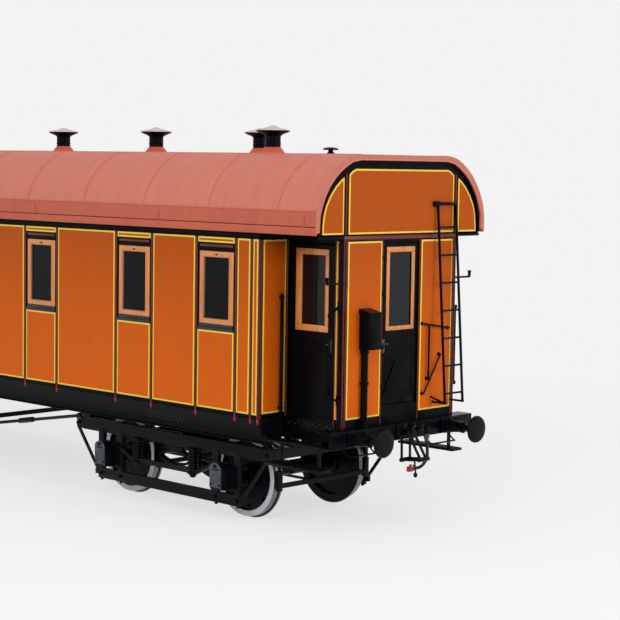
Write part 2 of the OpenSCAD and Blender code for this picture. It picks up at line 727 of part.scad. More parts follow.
module wheelset(x) {
  // the wheel's profile is a list of [radius, y]
  b = back_to_back / 2;
  r = tread_dia / 2;
  color(c_black) translate([x, 0, axle_z]) {
    rod_y(0, -b - tyre_width, b + tyre_width, 0, axle_dia);
    rod_y(0, -box_front + 40, box_front - 40, 0, journal_dia);
  }
  profile = [
    [70, b - 30], [140, b - 30], [150, b + 20], [r - 95, b + 45], [r - 85, b],
    [r + flange_height - 8, b], [r + flange_height, b + 12], [r + flange_height - 6, b + 30],
    [r, b + 44], [r - 4, b + tyre_width], [r - 75, b + tyre_width], [r - 85, b + 80],
    [150, b + 60], [140, b + tyre_width + 20], [70, b + tyre_width + 20]];
  color(c_tyre) translate([x, 0, axle_z]) both_sides()
    rotate([-90, 0, 0]) rotate_extrude($fn = 96) polygon(profile);
}

underframe();
truss_rods();
floor_slab();  // floor
side_wall(1);  // left_side_wall
side_wall(-1);  // right_side_wall
window_frames(1);  // left_window_frames
window_frames(-1);  // right_window_frames
window_glass(1);  // left_window_glass
window_glass(-1);  // right_window_glass
bulkhead(1);  // front_bulkhead
bulkhead(-1);  // rear_bulkhead
vestibule(1);  // front_vestibule
vestibule(-1);  // rear_vestibule
gable(1);  // front_gable
gable(-1);  // rear_gable
roof();
ventilators();
side_door(1, 1);  // front_left_door
side_door(1, -1);  // front_right_door
side_door(-1, -1);  // rear_left_door
side_door(-1, 1);  // rear_right_door
end_door(1);  // front_end_door
end_door(-1);  // rear_end_door
buffers(1);  // front_buffers
buffers(-1);  // rear_buffers
coupling(1);  // front_coupling
coupling(-1);  // rear_coupling
steps(1);  // front_steps
steps(-1);  // rear_steps
handrails(1);  // front_handrails
handrails(-1);  // rear_handrails
ladder(1);  // front_ladder
ladder(-1);  // rear_ladder
end_box(1);  // front_end_box
end_box(-1);  // rear_end_box
hose_pipe(1);  // front_hose_pipe
hose_pipe(-1);  // rear_hose_pipe
brake_hose(1);  // front_brake_hose
brake_hose(-1);  // rear_brake_hose
hose_end(1);  // front_hose_end
hose_end(-1);  // rear_hose_end
seats();
partitions();
bogie_frame(1);  // front_bogie_frame
bolster(1);  // front_bolster
axle_boxes(1);  // front_axle_boxes
springs(1);  // front_springs
brake_gear(1);  // front_brake_gear
bogie_frame(-1);  // rear_bogie_frame
bolster(-1);  // rear_bolster
axle_boxes(-1);  // rear_axle_boxes
springs(-1);  // rear_springs
brake_gear(-1);  // rear_brake_gear
wheelset(bogie_x + hx);  // front_outer_wheelset
wheelset(bogie_x - hx);  // front_inner_wheelset
wheelset(-bogie_x + hx);  // rear_inner_wheelset
wheelset(-bogie_x - hx);  // rear_outer_wheelset
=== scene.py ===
"""Passenger coach: the finished surfaces, trim and stage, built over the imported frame."""
import json
import math

import bmesh
import bpy
from bpy.props import FloatProperty, FloatVectorProperty, IntProperty, PointerProperty
from mathutils import Matrix, Vector


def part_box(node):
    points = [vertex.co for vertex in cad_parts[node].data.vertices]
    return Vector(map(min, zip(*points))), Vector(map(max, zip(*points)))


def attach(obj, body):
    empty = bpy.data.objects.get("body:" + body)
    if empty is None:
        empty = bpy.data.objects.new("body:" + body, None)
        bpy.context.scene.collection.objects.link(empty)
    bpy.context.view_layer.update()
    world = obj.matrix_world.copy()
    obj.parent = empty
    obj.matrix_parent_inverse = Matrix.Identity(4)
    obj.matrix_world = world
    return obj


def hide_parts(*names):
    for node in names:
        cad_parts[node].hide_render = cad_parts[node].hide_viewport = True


bl_info = {
    "name": "Passenger Coach",
    "version": (1, 0, 0),
    "blender": (4, 5, 0),
    "location": "3D View > Sidebar > Coach",
    "description": "Builds the panels, trim, roof, running gear and stage of a bogie coach",
    "category": "Object",
}

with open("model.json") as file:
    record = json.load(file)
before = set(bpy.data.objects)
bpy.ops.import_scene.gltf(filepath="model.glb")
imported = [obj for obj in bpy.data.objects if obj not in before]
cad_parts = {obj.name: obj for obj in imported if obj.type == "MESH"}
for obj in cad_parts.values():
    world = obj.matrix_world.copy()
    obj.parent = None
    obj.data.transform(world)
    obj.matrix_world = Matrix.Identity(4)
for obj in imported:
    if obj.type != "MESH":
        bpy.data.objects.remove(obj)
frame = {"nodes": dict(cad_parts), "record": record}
NODES = frame["nodes"]
BODY_OF = {n: b for b, ns in frame["record"]["behaviour"]["bodies"].items() for n in ns}
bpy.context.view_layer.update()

# ---- measures read from the frame, in metres ----
END_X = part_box("front_gable")[1].x          # outer face of the end wall
BULK_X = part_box("front_bulkhead")[1].x      # outer face of the bulkhead
WALL_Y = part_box("left_side_wall")[1].y      # outer face of the side walls
FLOOR_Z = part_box("floor")[1].z              # top of the floor boards
HEAD_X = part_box("front_buffers")[0].x       # front of the buffer beam
ROOF_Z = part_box("roof")[1].z                # crown of the roof
ROOF_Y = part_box("roof")[1].y                # half of the roof's width

# ---- measures of the CAD that no box gives, in metres ----
VEST_Y = 1.016                              # outer face of the vestibule sides
EAVE_Z = 3.735                              # underside of the eaves
CROWN_Y = 0.825                             # half of the roof's flat crown
BUFFER_Z, BUFFER_Y = 1.258, 0.8745          # middles of the buffers
DOOR_THICK = 0.044
SILL_Y, TRUSS_Y = 1.442, 1.396              # outer face of the sills, middle of the truss rods
AXLE_Z, AXLE_REACH = 0.553, 1.14            # axles: height, and distance from the bogie's middle
PLATE_Y = 1.182                             # outer face of a bogie's side plates
WINDOWS = [0.0, 1.966, 3.932, 5.898, 7.46]  # middles of the windows, from the coach's middle to an end
ALL_WINDOWS = WINDOWS + [-w for w in WINDOWS[1:]]
WIN_HALF, WIN_FRAME = 0.305, 0.076          # half width of a window, and width of its frame
HOSE_THICK = 0.04
# the roof's shoulder, from the crown: parts of the way out to the side, and of the way up from the eave
SHOULDER = [(0, 1), (0.072, 0.9935), (0.227, 0.9675), (0.386, 0.903), (0.528, 0.825), (0.65, 0.74),
            (0.774, 0.624), (0.88, 0.4865), (0.958, 0.339), (0.993, 0.2), (1, 0.07)]
# the middle line of a hose: out from the end wall, to the side, and up
HOSE = [(0.215, 0.3, 1.2), (0.217, 0.3, 1.16), (0.222, 0.299, 1.11), (0.228, 0.298, 1.06),
        (0.234, 0.296, 1.01), (0.239, 0.292, 0.962), (0.241, 0.284, 0.93), (0.238, 0.268, 0.896),
        (0.232, 0.245, 0.862), (0.223, 0.215, 0.833), (0.211, 0.18, 0.814), (0.198, 0.15, 0.806),
        (0.185, 0.125, 0.805)]

# ---- measures of the trim, in metres ----
PANEL_LOW, PANEL_HIGH = 1.485, 3.623        # bottom and top of the tall panels
WAIST_TOP, FRIEZE_LOW = 2.46, 3.555         # top of the panel under a window, bottom of the one over it
PANEL_HALF, BROAD_HALF = 0.3275, 0.598      # half widths of the panels at a window and between two windows
BATTEN_OFF = 0.3565                         # from a window's middle to the battens beside it
SHEET_EDGE = 3.985                          # seam between the upper and the lower roof sheets
EAVE_TOP = 3.798                            # top of the eave lip

ENDS = (("front", 1), ("rear", -1))
TURN = Matrix.Rotation(math.pi, 4, "Z")
MIRROR = Matrix.Scale(-1, 4, (0, 1, 0))
FLIP = Matrix.Scale(-1, 4, (1, 0, 0))


def lin(r, g, b):
    """A colour written 0 to 255 as the shader reads it."""
    return tuple(((c / 255 + 0.055) / 1.055) ** 2.4 if c > 10 else c / 255 / 12.92 for c in (r, g, b))


# ---------------------------------------------------------------- sizes and colours
class CoachSizes(bpy.types.PropertyGroup):
    """Sizes of the trim that a maker would change"""

    panel_depth: FloatProperty(name="Panel depth", description="How far the body panels stand off the wall",
                               default=0.014, min=0.004, max=0.02, unit="LENGTH")
    line_width: FloatProperty(name="Line width",
                              description="Width of the yellow line along each panel's edge",
                              default=0.022, min=0.005, max=0.05, unit="LENGTH")
    batten_radius: FloatProperty(name="Batten radius", description="Radius of the half-round battens",
                                 default=0.017, min=0.008, max=0.02, unit="LENGTH")
    seam_height: FloatProperty(name="Seam height",
                               description="Height of the folded seams of the roof sheets",
                               default=0.009, min=0.002, max=0.015, unit="LENGTH")
    seam_pitch: FloatProperty(name="Seam pitch", description="Distance between the roof's upper seams",
                              default=1.22, min=0.5, max=3.0, unit="LENGTH")
    rivet_radius: FloatProperty(name="Rivet radius", description="Radius of the rivet heads",
                                default=0.011, min=0.004, max=0.02, unit="LENGTH")
    rod_sides: IntProperty(name="Rod sides", description="Number of sides of a round rod",
                           default=16, min=8, max=48)


class CoachColours(bpy.types.PropertyGroup):
    """Colours of the paints, woods and metals"""

    orange: FloatVectorProperty(name="Panel orange", description="Paint of the body panels",
                                subtype="COLOR", size=3, default=lin(216, 97, 6), min=0, max=1)
    yellow: FloatVectorProperty(name="Line yellow", description="Paint of the lining",
                                subtype="COLOR", size=3, default=lin(252, 214, 70), min=0, max=1)
    maroon: FloatVectorProperty(name="Batten maroon", description="Paint of the battens",
                                subtype="COLOR", size=3, default=lin(92, 8, 14), min=0, max=1)
    # on the batten tips this brighter red is painted highlight of the lit batten ends
    red: FloatVectorProperty(name="Tip red", description="Paint of the batten tips and the hose valve",
                             subtype="COLOR", size=3, default=lin(178, 24, 22), min=0, max=1)
    black: FloatVectorProperty(name="Body black",
                               description="Gloss paint of the doors, frames and running gear",
                               subtype="COLOR", size=3, default=lin(7, 9, 13), min=0, max=1)
    wood: FloatVectorProperty(name="Window wood", description="Varnished wood of the window frames",
                              subtype="COLOR", size=3, default=lin(226, 140, 70), min=0, max=1)
    seat_wood: FloatVectorProperty(name="Seat wood", description="Varnished wood of the floor and benches",
                                   subtype="COLOR", size=3, default=lin(150, 98, 55), min=0, max=1)
    roof: FloatVectorProperty(name="Roof red", description="Paint of the roof sheets",
                              subtype="COLOR", size=3, default=lin(226, 132, 112), min=0, max=1)
    eave: FloatVectorProperty(name="Eave red", description="Paint of the roof sheets along the eaves",
                              subtype="COLOR", size=3, default=lin(204, 102, 78), min=0, max=1)
    cowl: FloatVectorProperty(name="Cowl white", description="Paint of the ventilator caps",
                              subtype="COLOR", size=3, default=lin(226, 208, 206), min=0, max=1)
    tyre: FloatVectorProperty(name="Tyre white", description="Paint of the tyre faces",
                              subtype="COLOR", size=3, default=lin(226, 216, 226), min=0, max=1)
    steel: FloatVectorProperty(name="Tread steel", description="Bare steel of the wheel treads",
                               subtype="COLOR", size=3, default=lin(120, 118, 120), min=0, max=1)
    # the glass's near-black colour is painted shade of the dark inside
    glass: FloatVectorProperty(name="Glass", description="Tint of the window glass",
                               subtype="COLOR", size=3, default=lin(8, 10, 14), min=0, max=1)
    rubber: FloatVectorProperty(name="Rubber", description="Rubber of the brake hoses",
                                subtype="COLOR", size=3, default=lin(24, 24, 26), min=0, max=1)


def sizes():
    return bpy.context.scene.coach_sizes


def colours():
    return bpy.context.scene.coach_colours


# ---------------------------------------------------------------- finishes
def start_finish(name):
    mat = bpy.data.materials.new(name)
    mat.use_nodes = True
    nodes, links = mat.node_tree.nodes, mat.node_tree.links
    shader = nodes["Principled BSDF"]
    place = nodes.new("ShaderNodeTexCoord")
    return mat, nodes, links, shader, place


def noise(nodes, links, place, scale, detail=4.0, rough=0.55, stretch=(1, 1, 1)):
    mapping = nodes.new("ShaderNodeMapping")
    mapping.inputs["Scale"].default_value = stretch
    links.new(place.outputs["Object"], mapping.inputs["Vector"])
    tex = nodes.new("ShaderNodeTexNoise")
    tex.inputs["Scale"].default_value = scale
    tex.inputs["Detail"].default_value = detail
    tex.inputs["Roughness"].default_value = rough
    links.new(mapping.outputs["Vector"], tex.inputs["Vector"])
    return tex


def ramp(nodes, links, source, stops):
    node = nodes.new("ShaderNodeValToRGB")
    elements = node.color_ramp.elements
    elements[0].position, elements[0].color = stops[0][0], (*stops[0][1], 1)
    elements[1].position, elements[1].color = stops[-1][0], (*stops[-1][1], 1)
    for at, colour in stops[1:-1]:
        elements.new(at).color = (*colour, 1)
    links.new(source, node.inputs["Fac"])
    return node


def shade(colour, k):
    return tuple(min(1.0, c * k) for c in colour)


def grain_bump(nodes, links, shader, tex, strength, distance):
    bump = nodes.new("ShaderNodeBump")
    bump.inputs["Strength"].default_value = strength
    bump.inputs["Distance"].default_value = distance
    links.new(tex.outputs["Fac"], bump.inputs["Height"])
    links.new(bump.outputs["Normal"], shader.inputs["Normal"])


def vary_rough(nodes, links, shader, tex, low, high):
    spread = nodes.new("ShaderNodeMapRange")
    spread.inputs["To Min"].default_value = low
    spread.inputs["To Max"].default_value = high
    links.new(tex.outputs["Fac"], spread.inputs["Value"])
    links.new(spread.outputs["Result"], shader.inputs["Roughness"])


def paint(name, colour, rough=(0.28, 0.42), specular=0.4, mottle=0.1, bump=0.12, metallic=0.0, scale=6.0):
    """Brushed paint: soft patches of tone, brush marks and a varying gloss."""
    mat, nodes, links, shader, place = start_finish(name)
    patches = noise(nodes, links, place, scale)
    tone = ramp(nodes, links, patches.outputs["Fac"],
                [(0.3, shade(colour, 1 - mottle)), (0.7, shade(colour, 1 + mottle))])
    links.new(tone.outputs["Color"], shader.inputs["Base Color"])
    fine = noise(nodes, links, place, 90.0, 6.0, 0.6, (1, 1, 0.25))
    vary_rough(nodes, links, shader, patches, *rough)
    grain_bump(nodes, links, shader, fine, bump, 0.002)
    shader.inputs["Specular IOR Level"].default_value = specular
    shader.inputs["Metallic"].default_value = metallic
    return mat


def height_tone_and_wear(name, heights, stops, streaks, wear, share, fine, rough, bump, specular):
    """Paint whose tone changes with the height, under worn streaks; on the body panels that change is painted
    shade.
    """
    mat, nodes, links, shader, place = start_finish(name)
    height = nodes.new("ShaderNodeSeparateXYZ")
    links.new(place.outputs["Object"], height.inputs["Vector"])
    level = nodes.new("ShaderNodeMapRange")
    level.inputs["From Min"].default_value, level.inputs["From Max"].default_value = heights
    links.new(height.outputs["Z"], level.inputs["Value"])
    fade = ramp(nodes, links, level.outputs["Result"], stops)
    streak = noise(nodes, links, place, *streaks)
    tone = nodes.new("ShaderNodeMix")
    tone.data_type = "RGBA"
    tone.blend_type = "MULTIPLY"
    tone.inputs["Factor"].default_value = share
    worn = ramp(nodes, links, streak.outputs["Fac"], wear)
    links.new(fade.outputs["Color"], tone.inputs["A"])
    links.new(worn.outputs["Color"], tone.inputs["B"])
    links.new(tone.outputs["Result"], shader.inputs["Base Color"])
    vary_rough(nodes, links, shader, streak, *rough)
    grain_bump(nodes, links, shader, noise(nodes, links, place, *fine), *bump)
    shader.inputs["Specular IOR Level"].default_value = specular
    return mat


def panel_paint(name, colour):
    """Orange paint over boards, with faint upright boards and painted shade: lighter low down and darker
    towards the eaves, where the roof shades the panels.
    """
    return height_tone_and_wear(
        name, heights=(1.45, 4.6),
        # painted shade: these stops lighten the orange near the sill and darken it under the eaves
        stops=[(0.0, shade(colour, 1.12)), (0.35, colour), (0.66, shade(colour, 0.76)),
               (1.0, shade(colour, 0.72))],
        streaks=(3.0, 5.0, 0.6, (3.2, 3.2, 0.5)),
        wear=[(0.25, (0.86, 0.84, 0.8)), (0.75, (1.1, 1.1, 1.1))], share=0.35,
        fine=(60.0, 6.0, 0.6, (1, 1, 0.12)), rough=(0.42, 0.58), bump=(0.12, 0.0015), specular=0.14)


def wood_grain(name, colour, along="Z", coat=0.3):
    """Varnished wood with long grain and darker veins."""
    mat, nodes, links, shader, place = start_finish(name)
    stretch = (1, 1, 0.08) if along == "Z" else (0.08, 1, 1)
    veins = noise(nodes, links, place, 38.0, 8.0, 0.62, stretch)
    tone = ramp(nodes, links, veins.outputs["Fac"],
                [(0.3, shade(colour, 0.62)), (0.5, colour), (0.72, shade(colour, 1.15))])
    links.new(tone.outputs["Color"], shader.inputs["Base Color"])
    vary_rough(nodes, links, shader, veins, 0.3, 0.5)
    grain_bump(nodes, links, shader, veins, 0.2, 0.001)
    shader.inputs["Coat Weight"].default_value = coat
    shader.inputs["Coat Roughness"].default_value = 0.15
    return mat


def sheet_paint(name, colour, low):
    """Roof paint: chalky sheets, another red near the eaves, with rain streaks down the slope."""
    return height_tone_and_wear(
        name, heights=(3.73, 4.66),
        stops=[(0.0, low), (0.265, low), (0.29, shade(colour, 0.96)), (1.0, shade(colour, 1.06))],
        streaks=(4.0, 6.0, 0.6, (1.8, 0.4, 0.5)),
        wear=[(0.3, (0.84, 0.82, 0.84)), (0.7, (1.08, 1.08, 1.08))], share=0.5,
        fine=(25.0, 6.0, 0.6), rough=(0.5, 0.68), bump=(0.15, 0.004), specular=0.3)


def clear_glass(name, colour):
    """Old window glass, slightly wavy, near-black and mostly opaque: painted shade of the dark inside behind
    it.
    """
    mat, nodes, links, shader, place = start_finish(name)
    wave = noise(nodes, links, place, 5.0, 2.0, 0.5)
    vary_rough(nodes, links, shader, wave, 0.03, 0.09)
    grain_bump(nodes, links, shader, wave, 0.08, 0.004)
    # near-black and only slightly see-through: painted shade standing for the dark inside
    shader.inputs["Base Color"].default_value = (*colour, 1)
    shader.inputs["Alpha"].default_value = 0.82
    shader.inputs["Specular IOR Level"].default_value = 0.12
    shader.inputs["IOR"].default_value = 1.5
    return mat


_finishes = {}


def finish(name):
    """The named finish, made the first time that it is asked for."""
    if name not in _finishes:
        c = colours()
        make = {
            "panel_orange": lambda: panel_paint(name, c.orange),
            "line_yellow": lambda: paint(name, c.yellow, (0.4, 0.5), 0.3, 0.05),
            "batten_maroon": lambda: paint(name, c.maroon, (0.25, 0.4), 0.4, 0.12),
            # on the batten tips this red is painted highlight of the lit maroon battens
            "tip_red": lambda: paint(name, c.red, (0.25, 0.4), 0.4, 0.1),
            "body_black": lambda: paint(name, c.black, (0.2, 0.36), 0.05, 0.2, 0.1),
            "gear_black": lambda: paint(name, shade(c.black, 1.2), (0.26, 0.42), 0.09, 0.3, 0.25, scale=14.0),
            # grey of the small fittings; on the axle-box lids this grey is painted highlight of their lit
            # faces
            "grey_metal_and_lit_lid": lambda: paint(name, lin(70, 74, 84), (0.3, 0.45), 0.5, 0.15, 0.2, 0.5),
            # a lighter grey than the black paint: painted highlight on the rivet heads
            "rivet_highlight_grey": lambda: paint(name, lin(46, 49, 56), (0.25, 0.4), 0.3, 0.15, 0.1),
            "sill_metal": lambda: paint(name, lin(40, 44, 54), (0.25, 0.4), 0.5, 0.15, 0.1, 0.6),
            "reveal_grey": lambda: paint(name, lin(96, 100, 108), (0.35, 0.5), 0.4, 0.1),
            "window_wood": lambda: wood_grain(name, c.wood),
            "seat_wood": lambda: wood_grain(name, c.seat_wood, "X", 0.15),
            "roof_sheet": lambda: sheet_paint(name, c.roof, c.eave),
            "roof_rim": lambda: paint(name, shade(c.roof, 0.82), (0.45, 0.6), 0.3, 0.1, 0.2),
            "vent_base": lambda: paint(name, lin(216, 100, 72), (0.45, 0.6), 0.3, 0.1, 0.2),
            "cowl_white": lambda: paint(name, c.cowl, (0.4, 0.55), 0.4, 0.06, 0.15),
            "tyre_white": lambda: paint(name, c.tyre, (0.4, 0.55), 0.4, 0.05, 0.2),
            "tread_steel": lambda: paint(name, c.steel, (0.22, 0.4), 0.5, 0.15, 0.15, 0.9),
            "hose_rubber": lambda: paint(name, c.rubber, (0.55, 0.75), 0.3, 0.2, 0.5, scale=40.0),
            "window_glass": lambda: clear_glass(name, c.glass),
            # door panes are opaque near-black paint: painted shade of the dark inside behind the glass
            "door_glass": lambda: paint(name, lin(14, 17, 22), (0.05, 0.12), 0.25, 0.1, 0.02),
        }[name]
        _finishes[name] = make()
    return _finishes[name]


# ---------------------------------------------------------------- modelling
EASED_ANGLE = 0.6                   # radians: sharper edges than this are eased on a new shape
FLAT_ANGLE = math.radians(0.8)      # faces nearer to one plane than this become one
COPY_ANGLE = math.radians(40)       # sharper edges than this are eased on a copy of a frame node
PLATE_EDGE = 0.003                  # eased edge of a raised panel


def mark(faces, index):
    for f in faces:
        f.material_index = index


def verts_of(geom):
    return [g for g in geom if isinstance(g, bmesh.types.BMVert)]


def span(side, a, b):
    """The stretch between a and b on one side of the coach, its lower end first."""
    return sorted((side * a, side * b))


def join(bm, part, index):
    """Adds a small finished shape to the piece."""
    if index is not None:
        mark(part.faces, index)
    mesh = bpy.data.meshes.new("part")
    part.to_mesh(mesh)
    part.free()
    bm.from_mesh(mesh)
    bpy.data.meshes.remove(mesh)


def bevel(bm, edges, size, segments=2):
    return bmesh.ops.bevel(bm, geom=edges, offset=size, offset_type="OFFSET", affect="EDGES",
                           segments=segments, profile=0.5, material=-1, clamp_overlap=True)["faces"]


def soften(bm, size):
    edges = [e for e in bm.edges if e.calc_face_angle(0) > EASED_ANGLE]
    if size and edges:
        bevel(bm, edges, size)


def block(bm, x, y, z, index=0, soft=0.0):
    """A box from x[0] to x[1], y[0] to y[1] and z[0] to z[1], with eased edges."""
    size = Vector((x[1] - x[0], y[1] - y[0], z[1] - z[0]))
    mid = Vector((x[1] + x[0], y[1] + y[0], z[1] + z[0])) / 2
    part = bmesh.new()
    bmesh.ops.create_cube(part, size=1, matrix=Matrix.Translation(mid) @ Matrix.Diagonal((*size, 1)))
    soften(part, soft)
    join(bm, part, index)


def facing(at, along):
    """The place at a point, with its own Z along a direction."""
    return Matrix.Translation(at) @ Vector(along).to_track_quat("Z", "Y").to_matrix().to_4x4()


def rod(bm, start, end, radius, index=0, tip=None, sides=None, ease=0.0):
    """A round rod, or a cone when tip gives another radius at its end."""
    start, end = Vector(start), Vector(end)
    part = bmesh.new()
    bmesh.ops.create_cone(part, cap_ends=True, cap_tris=False, segments=sides or sizes().rod_sides,
                          radius1=radius, radius2=radius if tip is None else tip,
                          depth=(end - start).length, matrix=facing((start + end) / 2, end - start))
    soften(part, ease)
    join(bm, part, index)


def nut(bm, start, end, radius):
    rod(bm, start, end, radius, 0, sides=6)


def turned(bm, outline, origin, axis, index=0, steps=32):
    """A turned shape: outline is (distance along the axis, radius) from one end to the other."""
    axis = Vector(axis).normalized()
    side = axis.orthogonal().normalized()
    origin = Vector(origin)
    if outline[0][1] and outline[-1][1]:
        outline = outline + [outline[0]]
    part = bmesh.new()
    verts = [part.verts.new(origin + axis * a + side * r) for a, r in outline]
    edges = [part.edges.new(pair) for pair in zip(verts, verts[1:])]
    bmesh.ops.spin(part, geom=verts + edges, cent=origin, axis=axis, dvec=(0, 0, 0), angle=2 * math.pi,
                   steps=steps, use_merge=True, use_duplicate=False)
    bmesh.ops.remove_doubles(part, verts=part.verts[:], dist=1e-6)
    join(bm, part, index)


def plate(bm, outline, depth, line=0.0):
    """A raised panel in the first material: pushed out by depth, its edge lined in the second."""
    depth = Vector(depth)
    part = bmesh.new()
    face = part.faces.new([part.verts.new(p) for p in outline])
    face.normal_update()
    if face.normal.dot(depth) < 0:
        face.normal_flip()
    made = bmesh.ops.extrude_face_region(part, geom=[face], use_keep_orig=True)["geom"]
    front = [g for g in made if isinstance(g, bmesh.types.BMFace)][0]
    bmesh.ops.translate(part, verts=front.verts[:], vec=depth)
    rim = front.edges[:]
    mark(part.faces, 0)
    mark(bevel(part, rim, PLATE_EDGE), 1)
    if line:
        front = max(part.faces, key=lambda f: (f.calc_center_median().dot(depth), f.calc_area()))
        mark(bmesh.ops.inset_region(part, faces=[front], thickness=line - PLATE_EDGE, depth=0.0,
                                    use_even_offset=True)["faces"], 1)
    join(bm, part, None)


def strip_along(bm, points, across, thick):
    """A ribbon that follows points, as wide as across, with a thickness."""
    part = bmesh.new()
    verts = [part.verts.new(p) for p in points]
    edges = [part.edges.new(pair) for pair in zip(verts, verts[1:])]
    made = bmesh.ops.extrude_edge_only(part, edges=edges)["geom"]
    bmesh.ops.translate(part, verts=verts_of(made), vec=Vector(across))
    bmesh.ops.recalc_face_normals(part, faces=part.faces[:])
    bmesh.ops.solidify(part, geom=part.faces[:], thickness=thick)
    join(bm, part, 0)


def move(bm, matrix):
    bmesh.ops.transform(bm, matrix=matrix, verts=bm.verts[:])


def to_end(bm, s):
    """Turns what was made for the front end to the rear one, when s is -1."""
    if s < 0:
        move(bm, TURN)


def again(bm, matrix):
    """Repeats all that bm holds, moved by matrix."""
    made = bmesh.ops.duplicate(bm, geom=bm.verts[:] + bm.edges[:] + bm.faces[:])["geom"]
    bmesh.ops.transform(bm, matrix=matrix, verts=verts_of(made))


def stud(bm, at, radius, along, index=0, flat=(1, 1, 0.6)):
    """A domed rivet head."""
    part = bmesh.new()
    bmesh.ops.create_uvsphere(part, u_segments=8, v_segments=4, radius=radius,
                              matrix=facing(at, along) @ Matrix.Diagonal((*flat, 1)))
    join(bm, part, index)


def settle(name, bm, finishes, body="coach", angle=35):
    """Turns a finished bmesh into a piece that rides on a body."""
    bmesh.ops.recalc_face_normals(bm, faces=bm.faces[:])
    mesh = bpy.data.meshes.new(name)
    bm.to_mesh(mesh)
    bm.free()
    for f in finishes:
        mesh.materials.append(finish(f))
    mesh.shade_smooth()
    mesh.set_sharp_from_angle(angle=math.radians(angle))
    piece = bpy.data.objects.new(name, mesh)
    bpy.context.scene.collection.objects.link(piece)
    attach(piece, body)
    return piece


def dressed(node, finishes, pick=None, soft=0.004, angle=32, extra=None, segments=2):
    """A merged copy of a frame node with eased edges, which stands for it.

    pick gives a face's material from its middle and normal, and extra adds trim."""
    bm = bmesh.new()
    bm.from_mesh(NODES[node].data)
    bmesh.ops.remove_doubles(bm, verts=bm.verts[:], dist=1e-5)
    for f in bm.faces:
        f.material_index = pick(f.calc_center_median(), f.normal) if pick else 0
    if soft:
        bmesh.ops.dissolve_limit(bm, angle_limit=FLAT_ANGLE, verts=bm.verts[:], edges=bm.edges[:],
                                 delimit={"MATERIAL"})
        bevel(bm, [e for e in bm.edges if len(e.link_faces) == 2 and e.calc_face_angle(0) > COPY_ANGLE],
              soft, segments)
    if extra:
        trim = bmesh.new()
        extra(trim)
        join(bm, trim, None)
    piece = settle(node + "_finished", bm, finishes, BODY_OF[node], angle)
    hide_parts(node)
    return piece


def coat(node, name):
    """Gives a kept frame node its finish."""
    for s in NODES[node].material_slots:
        s.material = finish(name)


def roof_line(lift, low):
    """Points (y, z) over the roof from one side to the other, down to low and lifted off the sheets."""
    side = [(CROWN_Y + a * (ROOF_Y - CROWN_Y), EAVE_Z + b * (ROOF_Z - EAVE_Z)) for a, b in SHOULDER]
    kept = [p for p in side if p[1] > low]
    foot = ROOF_Y
    if len(kept) < len(side):
        (y, z), (next_y, next_z) = kept[-1], side[len(kept)]
        foot = y + (z - low) / (z - next_z) * (next_y - y)
    kept.append((foot, low))
    line = [(-y, z) for y, z in reversed(kept)] + kept
    lifted = []
    for i, (y, z) in enumerate(line):
        a, b = line[max(0, i - 1)], line[min(len(line) - 1, i + 1)]
        n = Vector((a[1] - b[1], b[0] - a[0])).normalized()
        lifted.append((y + n.x * lift, z + n.y * lift))
    return lifted


